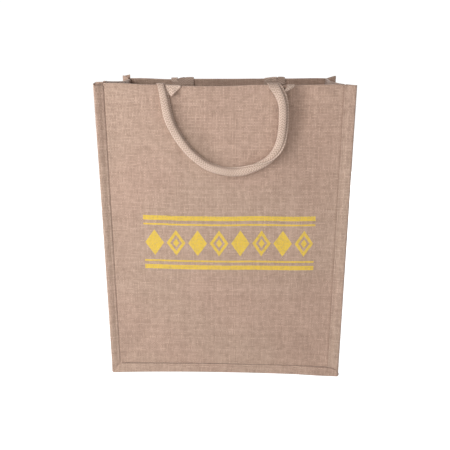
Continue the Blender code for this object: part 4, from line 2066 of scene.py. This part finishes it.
def flange_rows(handle: Handle) -> list[StitchRow]:
    """The row that closes the tape round the stuffing.

    Args:
        handle: the handle.

    Returns:
        The row on one side of the sewn edges and the one on the other.
    """
    places = [place for place in zip(*handle.frames()) if place[0].half_thick > FULL_THICK]
    found = []
    for way in (1, -1):
        path, outward = [], []
        for row, middle, wide, out in places:
            slant = math.radians(row.slant)
            along = wide * math.cos(slant) + out * math.sin(slant)
            beside = (out * math.cos(slant) - wide * math.sin(slant)) * way
            path.append(middle + along * (row.half_width + 0.0013) + beside * handle.half_tape)
            outward.append(beside)
        found.append(StitchRow.on_path(np.array(path), np.array(outward), 0.0036))
    return turned_rows(found) if handle.face.side is Side.BACK else found


def turned_rows(rows: list[StitchRow]) -> list[StitchRow]:
    """The same rows, turned half round about Z."""
    flip = np.array([-1.0, -1.0, 1.0])
    return [StitchRow(row.places * flip, row.along * flip, row.outward * flip) for row in rows]


def panel_row(face: Face, x: Array, up: Array, out: float, way: int, pitch: float) -> StitchRow:
    """A row of stitches on a panel.

    Args:
        face: front or back.
        x: the path's places across the bag.
        up: its heights above the rim.
        out: how far out from the panel's middle surface it lies.
        way: 1 where it faces away from the bag and -1 where it faces into it.
        pitch: from one stitch to the next.

    Returns:
        The row.
    """
    z = SHAPE.rim_height(face, x) + up
    path = np.stack([x, face.sign * (SHAPE.panel_depth(face, x, z) + out), z], -1)
    return StitchRow.on_path(path, np.array([0.0, face.sign * way, 0.0]), pitch)


def box_rows(face: Face, middle: float, out: float, way: int) -> list[StitchRow]:
    """The crossed box that holds one end of a handle.

    Args:
        face: front or back.
        middle: x of the box's middle.
        out: how far out from the panel's middle surface it lies.
        way: 1 where it faces away from the bag and -1 where it faces into it.

    Returns:
        Its rows.
    """
    half_wide, top, low = 0.0150, -0.0085, -0.0330
    left, right = middle - half_wide, middle + half_wide
    corners = [(left, top), (right, top), (right, low), (left, low)]
    share = np.linspace(0, 1, 24)
    found = []
    for first, second in ((0, 1), (1, 2), (2, 3), (3, 0), (0, 2), (1, 3)):
        x, up = (mix(*ends, share) for ends in zip(corners[first], corners[second]))
        found.append(panel_row(face, x, up, out, way, 0.0040))
    return found


def hem_rows(face: Face) -> list[StitchRow]:
    """The row that holds a panel's hem, on both its sides."""
    x = np.linspace(-0.1655, 0.1605, 140)
    sides = (PROUD, 1), (-SHAPE.layer - PROUD, -1)
    return [panel_row(face, x, -0.0345, out, way, 0.0046) for out, way in sides]


@dataclass(frozen=True)
class Fuzz:
    """Loose jute fibres that stand off a cloth.

    Attributes:
        fibre: their material.
        density: how many there are on a square metre.
        length: of the longest.
        radius: of a fibre.
        bend: the curve's middle and end, as shares of the length along it, aside and up.
        lean: the least and the most that a fibre is turned about each axis.
        bare: height up to which the cloth has none.
    """

    fibre: Thread
    density: float = 3600.0
    length: float = 0.0085
    radius: float = 0.00006
    bend: tuple[tuple[float, ...], ...] = ((0.5, 0.12, 0.34), (0.9, -0.2, 0.10))
    lean: tuple[tuple[float, ...], ...] = ((-0.35, -0.25, 0.0), (0.35, 0.45, math.tau))
    bare: float = 0.010

    def tree(self) -> Tree:
        """The tree that scatters curved fibres over a surface.

        Returns:
            The tree.
        """
        sockets = dict.fromkeys(("Density", "Length", "Radius"), "NodeSocketFloat")
        nodes, given = geometry_tree("fuzz", {**sockets, "Seed": "NodeSocketInt"})
        length = nodes.value(given, "Length")
        place = nodes.add("GeometryNodeInputPosition").outputs[0]
        height = nodes.value(nodes.add("ShaderNodeSeparateXYZ", values={0: place}), "Z")
        values = {name: given.outputs[name] for name in ("Density", "Seed")}
        values.update({"Mesh": given.outputs["Geometry"], "Selection": height.above(self.bare)})
        spots = nodes.add("GeometryNodeDistributePointsOnFaces", values=values)
        middle, end = (nodes.point(X=length * x, Y=length * y, Z=length * z) for x, y, z in self.bend)
        bend = {"Start": (0, 0, 0), "Middle": middle, "End": end}
        hair = strand(nodes, bend, given.outputs["Radius"], (5, 3))
        low, high = self.lean
        spin_values = {0: low, 1: high, "Seed": 3}
        spin = nodes.add("FunctionNodeRandomValue", {"data_type": "FLOAT_VECTOR"}, spin_values)
        turn = nodes.add("FunctionNodeEulerToRotation", values={0: spin.outputs[0]})
        values = {0: spots.outputs["Rotation"], 1: turn.outputs[0]}
        turned = nodes.add("FunctionNodeRotateRotation", {"rotation_space": "LOCAL"}, values)
        size = nodes.add("FunctionNodeRandomValue", {"data_type": "FLOAT"}, {2: 0.3, 3: 1.0, "Seed": 5})
        points, scale = spots.outputs["Points"], size.outputs[1]
        laid = {"Points": points, "Instance": hair, "Rotation": turned.outputs[0], "Scale": scale}
        return end_tree(nodes, laid, given.outputs["Material"])

    def build(self, cloth: Object, seed: int, share: float = 1.0) -> Object:
        """Makes and dresses the fibres on one cloth piece.

        Args:
            cloth: the piece.
            seed: sets where they stand.
            share: of the usual density.

        Returns:
            The fibres.
        """
        made = put(f"{cloth.name}_fuzz", cloth.data.copy())
        values = {
            "Density": self.density * share,
            "Length": self.length,
            "Radius": self.radius,
            "Seed": seed,
            "Material": self.fibre.build(),
        }
        return register(grow(made, self.tree(), values), "jute_cloth")


# ---- studio


@dataclass(frozen=True)
class Lamp:
    """A soft light.

    Attributes:
        name: the lamp's name.
        place: where it hangs.
        target: what it is aimed at.
        width: of its disk.
        watts: its power.
        colour: its colour.
    """

    name: str
    place: tuple[float, float, float]
    target: tuple[float, float, float]
    width: float
    watts: float
    colour: Colour = (0.93, 0.97, 1.0)

    def build(self) -> None:
        """Hangs the lamp."""
        data = bpy.data.lights.new(self.name, "AREA")
        data.shape = "DISK"
        data.size = self.width
        data.energy = self.watts
        data.color = self.colour
        made = put(self.name, data)
        made.location = self.place
        way = Vector(self.target) - Vector(self.place)
        made.rotation_euler = way.to_track_quat("-Z", "Y").to_euler()


@dataclass(frozen=True)
class Studio:
    """The camera, the pale floor and the light.

    Attributes:
        eye: the camera's place.
        yaw: how far it looks to the left, in degrees.
        pitch: how far it looks down, in degrees.
        lens: its focal length in millimetres, on a sensor 36 mm wide.
        ambient: brightness of the light from all round.
        shown: brightness of the surround as the camera sees it.
        lamps: the soft lights.
        floor: half the floor's width, and its height.
    """

    eye: tuple[float, float, float] = (0.0296, -0.9029, 0.4893)
    yaw: float = 2.05
    pitch: float = 16.68
    lens: float = 45.72
    ambient: float = 0.45
    shown: float = 1.05
    lamps: tuple[Lamp, ...] = (
        Lamp("key", (-0.78, -0.76, 0.60), (0.0, -0.09, -0.06), 1.00, 10.7),
        Lamp("fill", (-0.34, -1.40, 0.06), (0.0, -0.09, 0.06), 1.20, 8.0),
        Lamp("back_fill", (0.45, 1.40, 0.62), (0.0, 0.09, 0.22), 1.20, 15.0),
    )
    floor: tuple[float, float] = (3.0, -0.0001)

    def build_camera(self) -> None:
        """Places the camera."""
        data = bpy.data.cameras.new("camera")
        data.lens = self.lens
        data.sensor_width = 36.0
        data.clip_start = 0.01
        camera = put("camera", data)
        camera.location = self.eye
        camera.rotation_euler = (math.radians(90 - self.pitch), 0.0, math.radians(self.yaw))
        bpy.context.scene.camera = camera

    def build_world(self) -> None:
        """A white surround that gives less light than it shows."""
        world = bpy.data.worlds.new("surround")
        world.use_nodes = True
        world.node_tree.nodes.clear()
        nodes = Nodes(world.node_tree)
        strength = nodes.is_seen().rise(0.0, 1.0, self.ambient, self.shown)
        white = {"Color": (1.0,) * 4, "Strength": strength}
        shown = nodes.add("ShaderNodeBackground", values=white)
        nodes.add("ShaderNodeOutputWorld", values={"Surface": shown.outputs[0]})
        bpy.context.scene.world = world

    def build_floor(self) -> None:
        """Lays the floor."""
        mesh = bpy.data.meshes.new("floor")
        half, level = self.floor
        ends = [(-half, -half), (half, -half), (half, half), (-half, half)]
        mesh.from_pydata([(*end, level) for end in ends], [], [(0, 1, 2, 3)])
        put_mesh("floor", mesh, PaleFloor("pale_floor").build())

    def build(self) -> None:
        """Sets everything up."""
        bpy.context.scene.view_settings.view_transform = "Standard"
        self.build_camera()
        self.build_world()
        self.build_floor()
        for lamp in self.lamps:
            lamp.build()


# ---- the bag


JUTE_THREAD = Thread("jute_thread", (0.50, 0.355, 0.265), (0.36, 0.245, 0.18))
COTTON_THREAD = Thread("cotton_thread", (0.74, 0.60, 0.50), (0.55, 0.43, 0.345))
FIBRE = Thread("jute_fibre", (0.62, 0.47, 0.36), (0.45, 0.31, 0.22))
BACK_CUTS = ((0.0026, 0.0004, 0.0010, -0.0012), (-0.0038, 0.0003, 0.0003, -0.0045))
BOX_MIDDLES = (-0.0782, 0.0765)  # of the boxes of stitches that hold the handles' ends, seen from outside
BOX_INSIDE = -0.0043  # from a panel's middle surface to the box's thread on the inside


def build_bag() -> None:
    """Makes every piece of the bag."""
    plain = JuteCloth("jute_cloth")
    printed = JuteCloth("jute_cloth_printed", frieze=Frieze())
    tape = JuteCloth("jute_tape", pale=(0.550, 0.388, 0.296), dark=(0.335, 0.222, 0.163))
    cotton = CottonTape("cotton_tape")
    sewing, handle_sewing = Sewing(JUTE_THREAD), Sewing(COTTON_THREAD, 0.0027)
    fuzz = Fuzz(FIBRE)
    fuzz.build(Gusset(plain).build(), 11)
    bindings = Binding(FRONT, tape), Binding(BACK, tape, BACK_CUTS)
    for number, (face, cloth, binding) in enumerate(zip((FRONT, BACK), (printed, plain), bindings)):
        fuzz.build(Panel(face, cloth).build(), 21 + number)
        fuzz.build(binding.build(), 31 + number, 3.0)
        handle = Handle(face, cotton)
        handle.build()
        rows = binding_rows(binding) + hem_rows(face)
        for middle in BOX_MIDDLES:
            x = -face.sign * middle
            rows += box_rows(face, x, PROUD, 1) + box_rows(face, x, BOX_INSIDE, -1)
        sewing.build(f"{face.name}_stitches", "jute_tape", rows)
        handle_sewing.build(f"{face.name}_handle_stitches", "cotton_rope", flange_rows(handle))


def corners(box: tuple) -> list[list[float]]:
    """A box's two corners as plain lists of numbers."""
    return [[float(value) for value in corner] for corner in box]


def main() -> None:
    """Builds the scene."""
    logging.basicConfig(level=logging.INFO, format="%(name)s: %(message)s")
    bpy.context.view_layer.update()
    Studio().build()
    build_bag()


if __name__ == "__main__":
    main()
